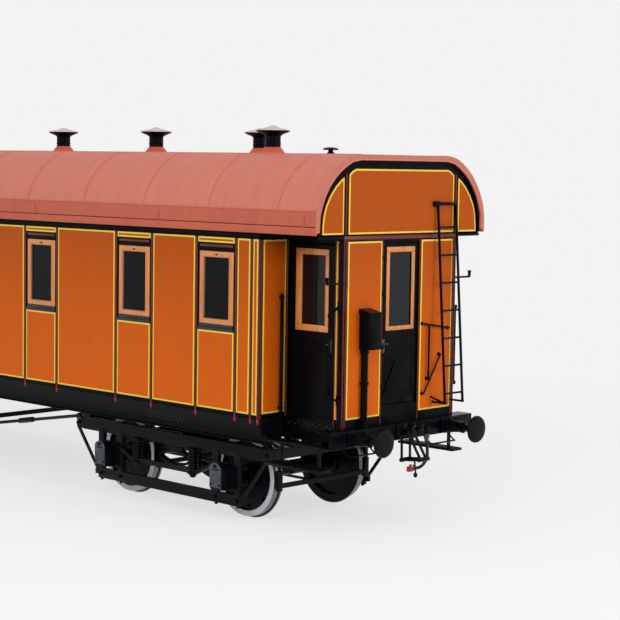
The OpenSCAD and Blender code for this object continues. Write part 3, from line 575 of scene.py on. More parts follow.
# ---------------------------------------------------------------- stage
class COACH_OT_stage(bpy.types.Operator):
    """Makes the floor, the soft lights and the camera"""

    bl_idname = "coach.stage"
    bl_label = "Stage"

    def execute(self, context):
        scene = context.scene
        scene.view_settings.view_transform = "Standard"
        self.world(scene)
        self.floor()
        # each soft light: its name, place, aim, width and power in watts
        for name, place, aim, size, watts in (
            ("key_light", (20, -24, 16), (6, 0, 2), 12, 2300),
            ("side_light", (-6, -26, 9), (2, 0, 2.5), 14, 650),
            ("end_light", (30, 6, 9), (9, 0, 2.5), 9, 1500),
        ):
            data = bpy.data.lights.new(name, "AREA")
            data.size, data.energy = size, watts
            lamp = bpy.data.objects.new(name, data)
            lamp.location = place
            lamp.rotation_euler = (Vector(aim) - Vector(place)).to_track_quat("-Z", "Y").to_euler()
            scene.collection.objects.link(lamp)
        self.camera(scene)
        return {"FINISHED"}

    def any_ray(self, nodes, links, kinds):
        """A value of 1 for rays of any of these kinds."""
        ray = nodes.new("ShaderNodeLightPath").outputs
        held = ray[f"Is {kinds[0]} Ray"]
        for kind in kinds[1:]:
            larger = nodes.new("ShaderNodeMath")
            larger.operation = "MAXIMUM"
            links.new(held, larger.inputs[0])
            links.new(ray[f"Is {kind} Ray"], larger.inputs[1])
            held = larger.outputs[0]
        return held

    def mixed(self, nodes, links, *sources):
        """A blend of two shaders: the sources are the factor, the first shader and the second."""
        node = nodes.new("ShaderNodeMixShader")
        for source, socket in zip(sources, node.inputs):
            links.new(source, socket)
        return node.outputs[0]

    def world(self, scene):
        """A pale backdrop for what is seen or mirrored, and a dimmer soft light for the rest."""
        world = bpy.data.worlds.new("studio")
        world.use_nodes = True
        scene.world = world
        nodes, links = world.node_tree.nodes, world.node_tree.links
        backdrop = nodes["Background"]
        backdrop.inputs["Color"].default_value = (0.896, 0.896, 0.896, 1)
        soft = nodes.new("ShaderNodeBackground")
        soft.inputs["Color"].default_value = (0.97, 0.98, 1.0, 1)
        soft.inputs["Strength"].default_value = 0.5
        seen = self.any_ray(nodes, links, ("Camera", "Transmission", "Glossy"))
        links.new(self.mixed(nodes, links, seen, soft.outputs[0], backdrop.outputs[0]),
                  nodes["World Output"].inputs["Surface"])

    def floor(self):
        """A sheet that looks almost as pale as the backdrop, takes shadows and fades out in an oval."""
        bm = bmesh.new()
        bmesh.ops.create_grid(bm, x_segments=8, y_segments=8, size=40)
        mesh = bpy.data.meshes.new("floor_sheet")
        bm.to_mesh(mesh)
        bm.free()
        mat, nodes, links, shader, place = start_finish("pale_floor")
        shader.inputs["Base Color"].default_value = (0.9, 0.9, 0.9, 1)
        shader.inputs["Roughness"].default_value = 0.9
        shader.inputs["Specular IOR Level"].default_value = 0.1
        oval = nodes.new("ShaderNodeMapping")
        oval.inputs["Scale"].default_value = (1 / 26, 1 / 15, 1)
        links.new(place.outputs["Object"], oval.inputs["Vector"])
        away = nodes.new("ShaderNodeVectorMath")
        away.operation = "LENGTH"
        links.new(oval.outputs["Vector"], away.inputs[0])
        fade = nodes.new("ShaderNodeMapRange")
        fade.interpolation_type = "SMOOTHSTEP"
        fade.inputs["From Min"].default_value = 0.42
        fade.inputs["From Max"].default_value = 1.0
        links.new(away.outputs["Value"], fade.inputs["Value"])
        pale = nodes.new("ShaderNodeEmission")
        pale.inputs["Color"].default_value = (0.66, 0.66, 0.66, 1)
        shadow = nodes.new("ShaderNodeBsdfDiffuse")
        shadow.inputs["Color"].default_value = (0.36, 0.36, 0.36, 1)
        lit = nodes.new("ShaderNodeAddShader")
        links.new(pale.outputs[0], lit.inputs[0])
        links.new(shadow.outputs[0], lit.inputs[1])
        seen = self.any_ray(nodes, links, ("Camera", "Glossy"))
        top = self.mixed(nodes, links, seen, shader.outputs[0], lit.outputs[0])
        clear = nodes.new("ShaderNodeBsdfTransparent")
        links.new(self.mixed(nodes, links, fade.outputs["Result"], top, clear.outputs[0]),
                  nodes["Material Output"].inputs["Surface"])
        mesh.materials.append(mat)
        sheet = bpy.data.objects.new("floor_sheet", mesh)
        bpy.context.scene.collection.objects.link(sheet)

    def camera(self, scene):
        data = bpy.data.cameras.new("camera")
        data.lens, data.sensor_width = 100.06, 36
        data.clip_start, data.clip_end = 0.5, 400
        cam = bpy.data.objects.new("camera", data)
        yaw, pitch, roll = (math.radians(a) for a in (43.806, -4.820, 0.918))
        ahead = Vector((-math.sin(yaw) * math.cos(pitch), math.cos(yaw) * math.cos(pitch), math.sin(pitch)))
        right = Vector((math.cos(yaw), math.sin(yaw), 0))
        up = right.cross(ahead)
        rolled_right = math.cos(roll) * right + math.sin(roll) * up
        rolled_up = math.cos(roll) * up - math.sin(roll) * right
        turn = Matrix((rolled_right, rolled_up, -ahead)).transposed().to_4x4()
        cam.matrix_world = Matrix.Translation((23.0041, -16.0305, 4.5291)) @ turn
        scene.collection.objects.link(cam)
        scene.camera = cam


# ---------------------------------------------------------------- hoses
class COACH_OT_brake_hoses(bpy.types.Operator):
    """Makes the rubber brake hoses with their valves"""

    bl_idname = "coach.brake_hoses"
    bl_label = "Brake hoses"

    def execute(self, context):
        for end, s in ENDS:
            knots = [Vector((s * (END_X + x), s * y, z)) for x, y, z in HOSE]
            route = self.smooth(knots)
            curve = bpy.data.curves.new(f"{end}_hose", "CURVE")
            curve.dimensions = "3D"
            curve.bevel_depth, curve.bevel_resolution, curve.use_fill_caps = HOSE_THICK / 2, 4, True
            line = curve.splines.new("POLY")
            line.points.add(len(route) - 1)
            for p, v in zip(line.points, route):
                p.co = (*v, 1)
            curve.materials.append(finish("hose_rubber"))
            hose = bpy.data.objects.new(f"{end}_hose", curve)
            context.scene.collection.objects.link(hose)
            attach(hose, "coach")
            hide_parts(f"{end}_brake_hose")
            tap = dressed(f"{end}_hose_end", ["tip_red", "grey_metal_and_lit_lid"], soft=0.005,
                          extra=lambda bm, s=s, at=knots[-1]: self.tap(bm, s, at))
            run = sum((b - a).length for a, b in zip(route, route[1:]))
            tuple(route[0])
        return {"FINISHED"}

    def smooth(self, knots):
        """A round line through the knots, three points to each stretch between two of them."""
        route = []
        for i in range(len(knots) - 1):
            a, b, c, d = knots[max(0, i - 1)], knots[i], knots[i + 1], knots[min(len(knots) - 1, i + 2)]
            for k in range(3):
                t = k / 3
                route.append(0.5 * ((2 * b) + (c - a) * t + (2 * a - 5 * b + 4 * c - d) * t * t
                                    + (3 * b - a - 3 * c + d) * t ** 3))
        return route + [knots[-1]]

    def tap(self, bm, s, at):
        """Collar, stem and handle of the hose's valve."""
        x, y, z = at
        stem_y = y - s * 0.095
        rod(bm, (x, y - s * 0.01, z), (x, y - s * 0.05, z), 0.027, 1, ease=0.003)
        rod(bm, (x, stem_y, z + 0.02), (x, stem_y, z + 0.05), 0.012, 1)
        block(bm, (x - 0.008, x + 0.07), sorted((y - s * 0.087, y - s * 0.103)), (z + 0.046, z + 0.058),
              1, 0.003)


# ---------------------------------------------------------------- body sides
class COACH_OT_side_panels(bpy.types.Operator):
    """Makes the lined orange panels of the body sides, with the battens between them"""

    bl_idname = "coach.side_panels"
    bl_label = "Side panels"

    def execute(self, context):
        z = sizes()
        depth, line = z.panel_depth, z.line_width
        for n in ("left_side_wall", "right_side_wall"):
            coat(n, "body_black")
        bm = bmesh.new()

        def panel(x0, x1, z0=PANEL_LOW, z1=PANEL_HIGH):
            plate(bm, [(x0, WALL_Y, z0), (x1, WALL_Y, z0), (x1, WALL_Y, z1), (x0, WALL_Y, z1)],
                  (0, depth, 0), line)

        def window_panels(w):
            panel(w - PANEL_HALF, w + PANEL_HALF, z1=WAIST_TOP)
            panel(w - PANEL_HALF, w + PANEL_HALF, z0=FRIEZE_LOW)

        def batten(x):
            """A half-round batten, with a tip that ends in a point over the sill; the tip's brighter red is
            painted highlight, where the batten is lit.
            """
            y, r = WALL_Y + 0.002, z.batten_radius
            rod(bm, (x, y, PANEL_HIGH), (x, y, 1.43), r, 2, sides=12)
            rod(bm, (x, y, 1.43), (x, y, 1.4), r * 0.95, 3, sides=12)
            rod(bm, (x, y, 1.4), (x, y, 1.365), r * 0.95, 3, tip=0.003, sides=12)

        for w in WINDOWS[1:]:
            window_panels(w)
        for mid in (0.983, 2.949, 4.915):
            panel(mid - BROAD_HALF, mid + BROAD_HALF)
        # narrower panels towards the end
        for x0, x1 in ((6.283, 7.075), (7.845, 8.065), (8.117, 8.204)):
            panel(x0, x1)
        for x in [w + d for w in WINDOWS for d in (-BATTEN_OFF, BATTEN_OFF)] + [8.091, 8.217]:
            if x > 0:
                batten(x)
        again(bm, FLIP)
        window_panels(0.0)
        again(bm, MIRROR)
        settle("side_panels", bm, ["panel_orange", "line_yellow", "batten_maroon", "tip_red"])

        # plain rails under the eave and over the sill, and a bead over each window
        bm = bmesh.new()
        long = (-BULK_X, BULK_X)
        block(bm, long, (WALL_Y, WALL_Y + 0.02), (3.636, 3.69), 0, 0.006)
        block(bm, long, (WALL_Y, WALL_Y + 0.03), (3.69, EAVE_Z), 0, 0.01)
        block(bm, long, (WALL_Y - 0.02, WALL_Y + 0.008), (1.43, 1.472), 0, 0.005)
        for w in ALL_WINDOWS:
            block(bm, (w - 0.3, w + 0.3), (WALL_Y, WALL_Y + 0.012), (3.5, 3.532), 1, 0.005)
        again(bm, MIRROR)
        settle("side_rails", bm, ["body_black", "batten_maroon"])
        return {"FINISHED"}


class COACH_OT_windows(bpy.types.Operator):
    """Makes the varnished window frames with beads, slots, sills and glass"""

    bl_idname = "coach.windows"
    bl_label = "Windows"

    def execute(self, context):
        for side, t in (("left", 1), ("right", -1)):
            # the glass is near-black: painted shade of the inside
            coat(f"{side}_window_glass", "window_glass")
            dressed(f"{side}_window_frames", ["window_wood"], soft=0.007,
                    extra=lambda bm, t=t: self.beads(bm, t))
        bm = bmesh.new()
        reveal = (WALL_Y - 0.018, WALL_Y - 0.002)
        for w in ALL_WINDOWS:
            # stepped sill with a rounded nose, and a slot for the blind in the top rail
            block(bm, (w - 0.325, w + 0.325), (WALL_Y - 0.02, WALL_Y + 0.02), (2.462, 2.5), 0, 0.012)
            block(bm, (w - 0.31, w + 0.31), (WALL_Y - 0.02, WALL_Y + 0.012), (2.5, 2.538), 0, 0.006)
            stud(bm, (w, WALL_Y + 0.0075, 3.405), 0.032, (0, 1, 0), 1, (1, 0.33, 0.1))
            # grey reveal round the glass
            for d in (-1, 1):
                x = w + d * (WIN_HALF - WIN_FRAME - 0.004)
                block(bm, sorted((x, x - d * 0.009)), reveal, (2.604, 3.376), 2, 0.002)
            for z in (2.607, 3.373):
                block(bm, (w - 0.225, w + 0.225), reveal, (z - 0.005, z + 0.005), 2, 0.002)
        again(bm, MIRROR)
        settle("window_sills", bm, ["sill_metal", "body_black", "reveal_grey"])
        return {"FINISHED"}

    def beads(self, bm, t):
        """Beads round the glass of every frame on one side."""
        deep = span(t, WALL_Y + 0.004, WALL_Y + 0.013)
        for w in ALL_WINDOWS:
            for d in (-1, 1):
                x = w + d * (WIN_HALF - WIN_FRAME + 0.006)
                block(bm, (x - 0.006, x + 0.006), deep, (2.6, 3.38), 0, 0.003)
            for z in (2.6, 3.38):
                block(bm, (w - 0.235, w + 0.235), deep, (z - 0.006, z + 0.006), 0, 0.003)


class COACH_OT_end_walls(bpy.types.Operator):
    """Makes the lined panels of the end walls, recesses and gables"""

    bl_idname = "coach.end_walls"
    bl_label = "End walls and gables"

    def execute(self, context):
        for end, _ in ENDS:
            for n in ("vestibule", "gable", "bulkhead"):
                coat(f"{end}_{n}", "body_black")
        self.panels()
        self.bands()
        return {"FINISHED"}

    def panels(self):
        """Lined panels and battens of the end walls, gables and recesses."""
        depth, line, x = sizes().panel_depth, sizes().line_width, END_X
        bm = bmesh.new()

        def face(corners):
            plate(bm, [(x, y, z) for y, z in corners], (depth, 0, 0), line)

        def upright(at_x, y, top, foot, radius, index=2, tip=None):
            rod(bm, (at_x, y, top), (at_x, y, foot), radius, index, tip=tip, sides=12)

        # end panels beside the doorway
        for t in (-1, 1):
            face([(t * 0.368, PANEL_LOW), (t * 0.975, PANEL_LOW), (t * 0.975, PANEL_HIGH),
                  (t * 0.368, PANEL_HIGH)])
        # main gable panel with clipped corners
        face([(-0.978, 3.71), (0.978, 3.71), (0.978, 4.42), (0.93, 4.46), (0.86, 4.49), (-0.86, 4.49),
              (-0.93, 4.46), (-0.978, 4.42)])
        # lunettes at the shoulders
        lune = [(1.064, 3.71), (1.432, 3.71), (1.428, 3.822), (1.412, 3.938), (1.378, 4.046), (1.308, 4.168),
                (1.212, 4.28), (1.114, 4.36), (1.064, 4.39)]
        for t in (-1, 1):
            face([(t * y, z) for y, z in lune])
        # wall of the recess, and the strip on the vestibule's corner
        for t in (-1, 1):
            recess = ((1.068, 1.5), (1.458, 1.5), (1.458, 3.618), (1.068, 3.618))
            plate(bm, [(BULK_X, t * y, z) for y, z in recess], (0.012, 0, 0), line)
            strip = ((0.128, PANEL_LOW), (0.04, PANEL_LOW), (0.04, PANEL_HIGH), (0.128, PANEL_HIGH))
            plate(bm, [(x - back, t * VEST_Y, z) for back, z in strip], (0, t * 0.01, 0), 0.018)
        # battens on the corners, beside the doorway, up the gable and in the recess
        for t in (-1, 1):
            for y, r in ((0.998, 0.015), (1.036, 0.012), (0.347, 0.009)):
                upright(x + 0.004, t * y, 3.66, 1.42, r)
                # tips in the brighter red: painted highlight of the lit batten ends
                upright(x + 0.004, t * y, 1.42, 1.375, r, 3, 0.003)
            upright(x + 0.004, t * 1.021, 3.71, 4.43, 0.014)
            upright(BULK_X + 0.003, t * 1.036, 3.62, 1.44, 0.013)
            upright(BULK_X + 0.003, t * 1.48, 3.62, 1.44, 0.012)
            upright(x - 0.14, t * (VEST_Y + 0.002), 3.64, 1.42, 0.012)
        # band across under the gable
        block(bm, (x, x + 0.01), (-1.05, 1.05), (3.64, 3.69), 2, 0.004)
        block(bm, (x, x + 0.014), (-1.05, 1.05), (3.66, 3.668), 3, 0.002)
        again(bm, TURN)
        settle("end_panels", bm, ["panel_orange", "line_yellow", "batten_maroon", "tip_red"])

    def bands(self):
        """Black band that follows the gable's edge, and the boards over the recesses."""
        x = END_X
        bm = bmesh.new()
        strip_along(bm, [(x + 0.003, y, z) for y, z in roof_line(-0.068, EAVE_Z - 0.03)], (0.02, 0, 0), 0.03)
        for t in (-1, 1):
            block(bm, (BULK_X, x), span(t, 1.44, 1.5), (3.655, 3.735), 0, 0.006)
            block(bm, (x - 0.06, x), span(t, 1.06, 1.5), (3.655, 3.735), 0, 0.006)
            block(bm, (x, x + 0.018), span(t, 1.05, 1.5), (3.655, 3.69), 0, 0.005)
        again(bm, TURN)
        settle("end_bands", bm, ["body_black"])


# ---------------------------------------------------------------- roof
class COACH_OT_roof(bpy.types.Operator):
    """Makes the roof's smooth shell, its folded seams, eave lip and end rims"""

    bl_idname = "coach.roof"
    bl_label = "Roof"

    def execute(self, context):
        # the soffits over the recesses are black
        dressed("roof", ["roof_sheet", "body_black", "roof_rim"], soft=0.0, angle=40,
                pick=lambda centre, _: int(centre.z < 3.742 and abs(centre.y) < 1.52))
        self.seams()
        bm = bmesh.new()
        strip_along(bm, [(END_X + 0.03, y, z) for y, z in roof_line(0.006, EAVE_Z)], (0.014, 0, 0), 0.056)
        again(bm, TURN)
        settle("roof_rims", bm, ["roof_rim"], angle=25)
        return {"FINISHED"}

    def seams(self):
        """Folded seams of the sheets, and the lip of the eaves."""
        height, pitch = sizes().seam_height, sizes().seam_pitch
        long = (-END_X - 0.04, END_X + 0.04)
        bm = bmesh.new()
        # seams across the upper sheets, with short ones over the crown between them
        reach = int(END_X / pitch)
        for i in range(-reach, reach + 1):
            strip_along(bm, [(i * pitch, y, z) for y, z in roof_line(height, SHEET_EDGE)],
                        (0.016, 0, 0), 0.012)
        for i in range(-2 * reach, 2 * reach + 1):
            x = i * pitch / 2
            for t in (-1, 1):
                block(bm, (x - 0.006, x + 0.006), span(t, 0.828, 0.7), (ROOF_Z - 0.004, ROOF_Z + 0.009),
                      0, 0.003)
        for t in (-1, 1):
            block(bm, long, span(t, 0.8, 0.828), (ROOF_Z - 0.004, ROOF_Z + 0.01), 0, 0.004)
        # seams across the lower sheets
        lower = [(1.496, SHEET_EDGE)] + [(y, z) for y, z in roof_line(height, 3.775) if y > 0 and z < 3.98]
        for i in range(-4, 4):
            x = (i + 0.5) * 2.57
            for t in (-1, 1):
                strip_along(bm, [(x, t * y, z) for y, z in lower], (0.014, 0, 0), 0.01)
        # seams along the roof: between the sheets and at the eave
        y, z = roof_line(0.002, SHEET_EDGE)[-1]
        for t in (-1, 1):
            block(bm, long, span(t, y - 0.012, y + 0.006), (z - 0.006, z + 0.008), 0, 0.004)
            block(bm, long, span(t, ROOF_Y - 0.022, ROOF_Y + 0.012), (EAVE_Z - 0.032, EAVE_TOP), 0, 0.008)
            block(bm, long, span(t, ROOF_Y - 0.01, ROOF_Y + 0.003), (EAVE_TOP, 3.806), 1, 0.001)
        settle("roof_seams", bm, ["roof_sheet", "body_black"])


class COACH_OT_ventilators(bpy.types.Operator):
    """Makes the turned ventilators with their flared caps"""

    bl_idname = "coach.ventilators"
    bl_label = "Ventilators"

    # outlines as (height, radius)
    FOOT = [(0, 0), (0, 0.16), (0.012, 0.158), (0.05, 0.128), (0.08, 0.107), (0.086, 0.102), (0.086, 0)]
    TUBE = [(0.08, 0), (0.08, 0.101), (0.1, 0.099), (0.12, 0.099), (0.125, 0.104), (0.133, 0.104),
            (0.138, 0.099), (0.228, 0.1), (0.25, 0.13), (0.275, 0.195), (0.29, 0.218), (0.297, 0.219),
            (0.297, 0)]
    CAP = [(0.292, 0), (0.292, 0.214), (0.298, 0.22), (0.304, 0.212), (0.322, 0.14), (0.338, 0.07),
           (0.352, 0.04), (0.36, 0.018), (0.362, 0)]
    LAMP_FOOT = [(0, 0), (0, 0.075), (0.03, 0.042), (0.045, 0.032), (0.07, 0.03), (0.07, 0)]
    LAMP_CAP = [(0.062, 0), (0.062, 0.09), (0.068, 0.1), (0.08, 0.1), (0.094, 0.06), (0.1, 0)]

    def execute(self, context):
        places = [(0, 0)]
        for s in (1, -1):
            places += [(s * (END_X - 6.678), 0), (s * (END_X - 4.585), 0), (s * (END_X - 3.07), s * 0.56),
                       (s * (END_X - 1.7), -s * 0.56)]
        bm = bmesh.new()
        for x, y in places:
            for index, outline in enumerate((self.FOOT, self.TUBE, self.CAP)):
                turned(bm, outline, (x, y, ROOF_Z), (0, 0, 1), index)
            # rivets round the foot
            for k in range(12):
                a = k * math.pi / 6
                stud(bm, (x + 0.13 * math.cos(a), y + 0.13 * math.sin(a), ROOF_Z + 0.05), 0.008,
                     (math.cos(a) * 0.6, math.sin(a) * 0.6, 0.8), 0)
        # small lamp vents near the ends
        for s in (1, -1):
            for outline in (self.LAMP_FOOT, self.LAMP_CAP):
                turned(bm, outline, (s * (END_X - 1.22), 0, ROOF_Z), (0, 0, 1), 1)
        piece = settle("ventilator_cowls", bm, ["vent_base", "body_black", "cowl_white"],
                       angle=30)
        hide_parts("ventilators")
        return {"FINISHED"}


# ---------------------------------------------------------------- doors
HANDLE = [(0, 0), (0, 0.006), (0.012, 0.007), (0.03, 0.01), (0.07, 0.008), (0.08, 0.004), (0.08, 0)]
DOOR_FINISHES = ["window_wood", "body_black", "door_glass", "grey_metal_and_lit_lid"]


def door_faces(put, outer, frame_bars, pane, mouldings, lock):
    """Window frame, pane, mouldings and plain lock plate on both faces of a door.

    put(across, deep, high, material, softness) makes a block; a bar is (from, to, foot, top)."""
    for face, out in ((outer, 1), (outer - DOOR_THICK, -1)):
        deep = sorted((face - out * 0.012, face + out * 0.007))
        for a, b, foot, top in frame_bars:
            put((a, b), deep, (foot, top), 0, 0.005)
        put(pane[:2], sorted((face - out * 0.0165, face - out * 0.012)), pane[2:], 2, 0.0)
        rim = sorted((face, face + out * 0.004))
        for a, b, foot, top in mouldings:
            put((a, b), rim, (foot, top), 1, 0.0015)
        put(lock[:2], rim, lock[2:], 3, 0.0015)


class COACH_OT_side_doors(bpy.types.Operator):
    """Makes the side doors with wooden window frames, mouldings and handles"""

    bl_idname = "coach.side_doors"
    bl_label = "Side doors"

    def execute(self, context):
        hinge = BULK_X + 0.012
        x0, x1 = hinge + 0.122, hinge + 0.669      # outside of the window frame
        g0, g1 = hinge + 0.223, hinge + 0.612      # sides of the glass
        bars = ((x0, x1, 2.522, 2.6), (x0, x1, 3.448, 3.522), (x0, g0, 2.6, 3.448), (g1, x1, 2.6, 3.448))
        mouldings = [(hinge + a, hinge + b, foot, top) for a, b, foot, top in (
            (0.09, 0.67, 1.66, 1.672), (0.09, 0.67, 2.44, 2.452), (0.09, 0.102, 1.66, 2.452),
            (0.658, 0.67, 1.66, 2.452), (0.0, 0.76, 1.592, 1.602))]
        for end, s in ENDS:
            for side, t in (("left", 1), ("right", -1)):
                node = f"{end}_{side}_door"
                dressed(node, ["body_black"], soft=0.003)
                bm = bmesh.new()
                door_faces(lambda across, deep, high, *rest, bm=bm: block(bm, across, deep, high, *rest),
                           VEST_Y, bars, (g0 - 0.02, g1 + 0.02, 2.59, 3.455), mouldings,
                           (hinge + 0.69, hinge + 0.73, 2.28, 2.44))
                rod(bm, (hinge + 0.71, VEST_Y + 0.002, 2.38), (hinge + 0.71, VEST_Y + 0.014, 2.38), 0.008, 3)
                turned(bm, HANDLE, (hinge + 0.716, VEST_Y + 0.014, 2.38), (-1, 0, 0), 3, 12)
                # straps of the three hinges
                for z in (FLOOR_Z + 0.312, FLOOR_Z + 1.012, FLOOR_Z + 1.762):
                    block(bm, (hinge + 0.008, hinge + 0.09), (VEST_Y - 0.048, VEST_Y - 0.043), (z, z + 0.09),
                          1, 0.001)
                if t < 0:
                    move(bm, MIRROR)
                if s < 0:
                    move(bm, FLIP)
                settle(f"{node}_trim", bm, DOOR_FINISHES, node)
        return {"FINISHED"}


class COACH_OT_end_doors(bpy.types.Operator):
    """Makes the gangway doors with wooden window frames and a brace"""

    bl_idname = "coach.end_doors"
    bl_label = "End doors"

    def execute(self, context):
        outer = END_X - 0.008
        bars = ((-0.262, 0.262, 2.52, 2.572), (-0.262, 0.262, 3.48, 3.545), (-0.262, -0.205, 2.572, 3.48),
                (0.205, 0.262, 2.572, 3.48))
        mouldings = ((-0.25, 0.25, 1.74, 1.75), (-0.25, 0.25, 2.42, 2.43), (-0.25, -0.24, 1.74, 2.43),
                     (0.24, 0.25, 1.74, 2.43))
        for end, s in ENDS:
            node = f"{end}_end_door"
            dressed(node, ["body_black"], soft=0.003)
            bm = bmesh.new()
            door_faces(lambda across, deep, high, *rest, bm=bm: block(bm, deep, across, high, *rest),
                       outer, bars, (-0.215, 0.215, 2.565, 3.49), mouldings, (-0.315, -0.275, 2.25, 2.42))
            rod(bm, (outer + 0.001, -0.295, 2.36), (outer + 0.02, -0.295, 2.36), 0.009, 3)
            turned(bm, HANDLE, (outer + 0.02, -0.303, 2.36), (0, 1, 0), 3, 12)
            # brace across the lower panel
            rod(bm, (outer + 0.01, -0.075, 2.147), (outer + 0.01, -0.318, 1.665), 0.009, 1)
            to_end(bm, s)
            settle(f"{node}_trim", bm, DOOR_FINISHES, node)
        return {"FINISHED"}


# ---------------------------------------------------------------- end gear
class COACH_OT_buffers(bpy.types.Operator):
    """Makes the buffers: ribbed castings, plungers and flat round heads"""

    bl_idname = "coach.buffers"
    bl_label = "Buffers"

    def execute(self, context):
        face_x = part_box("front_buffers")[1].x
        reach = face_x - HEAD_X
        for end, s in ENDS:
            bm = bmesh.new()
            for t in (-1, 1):
                at = (HEAD_X, t * BUFFER_Y, BUFFER_Z)
                block(bm, (HEAD_X, HEAD_X + 0.022), (at[1] - 0.165, at[1] + 0.165), (1.175, 1.365), 0, 0.006)
                turned(bm, [(0.02, 0), (0.02, 0.094), (0.045, 0.088), (0.06, 0.082), (0.2, 0.066),
                            (0.215, 0.074), (0.24, 0.074), (0.25, 0.06), (0.25, 0)], at, (1, 0, 0), 0)
                turned(bm, [(0.24, 0), (0.24, 0.05), (reach - 0.09, 0.048), (reach - 0.07, 0.056),
                            (reach - 0.05, 0.09), (reach - 0.046, 0.16), (reach - 0.04, 0.17),
                            (reach - 0.026, 0.17),
                            (reach - 0.012, 0.162), (reach - 0.003, 0.125), (reach, 0.07), (reach, 0)],
                       at, (1, 0, 0), 1, 48)
                for k in range(4):
                    a = math.pi / 4 + k * math.pi / 2
                    y, z = math.cos(a), math.sin(a)
                    rod(bm, (HEAD_X + 0.03, at[1] + y * 0.1, at[2] + z * 0.08),
                        (HEAD_X + 0.19, at[1] + y * 0.066, at[2] + z * 0.066), 0.012, 0, tip=0.006, sides=8)
                    rod(bm, (HEAD_X + 0.018, at[1] + y * 0.17, at[2] + z * 0.098),
                        (HEAD_X + 0.04, at[1] + y * 0.17, at[2] + z * 0.098), 0.017, 0, sides=6)
            to_end(bm, s)
            piece = settle(f"{end}_buffer_set", bm, ["body_black", "gear_black"],
                           angle=30)
            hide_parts(f"{end}_buffers")
        return {"FINISHED"}


class COACH_OT_couplings(bpy.types.Operator):
    """Makes the draw hooks with their hanging screw couplings"""

    bl_idname = "coach.couplings"
    bl_label = "Couplings"

    def execute(self, context):
        for end, s in ENDS:
            dressed(f"{end}_coupling", ["gear_black"], soft=0.005)
            bm = bmesh.new()
            # hook's curled nose, nuts on the plate, screw threads and weighted handle
            turn_at = Vector((HEAD_X + 0.13, 0, 1.33))
            bend = [turn_at + Vector((0.05 * math.cos(a), 0, 0.05 * math.sin(a)))
                    for a in [math.radians(200 - k * 22) for k in range(9)]]
            for a, b in zip(bend, bend[1:]):
                rod(bm, a, b, 0.024, 0)
            for y in (-0.1, 0.1):
                for z in (1.22, 1.33):
                    rod(bm, (HEAD_X + 0.018, y, z), (HEAD_X + 0.038, y, z), 0.018, 0, sides=6)
            low = Vector((HEAD_X + 0.32, 0, 0.96))
            loop = Vector((HEAD_X + 0.04, 0, 0.925))
            for k in range(15):
                p = low.lerp(loop, 0.15 + 0.05 * k)
                q = low.lerp(loop, 0.15 + 0.05 * k + 0.025)
                rod(bm, p, q, 0.028, 0, sides=12)
            mid = low.lerp(loop, 0.5)
            rod(bm, mid, mid + Vector((0.02, 0.0, -0.16)), 0.012, 0, tip=0.01)
            turned(bm, [(0, 0), (0.004, 0.016), (0.02, 0.024), (0.04, 0.026), (0.06, 0.018), (0.066, 0)],
                   mid + Vector((0.02, 0, -0.16)), (0, 0, -1), 0, 16)
            to_end(bm, s)
            settle(f"{end}_hook_and_screw", bm, ["gear_black"])
        return {"FINISHED"}


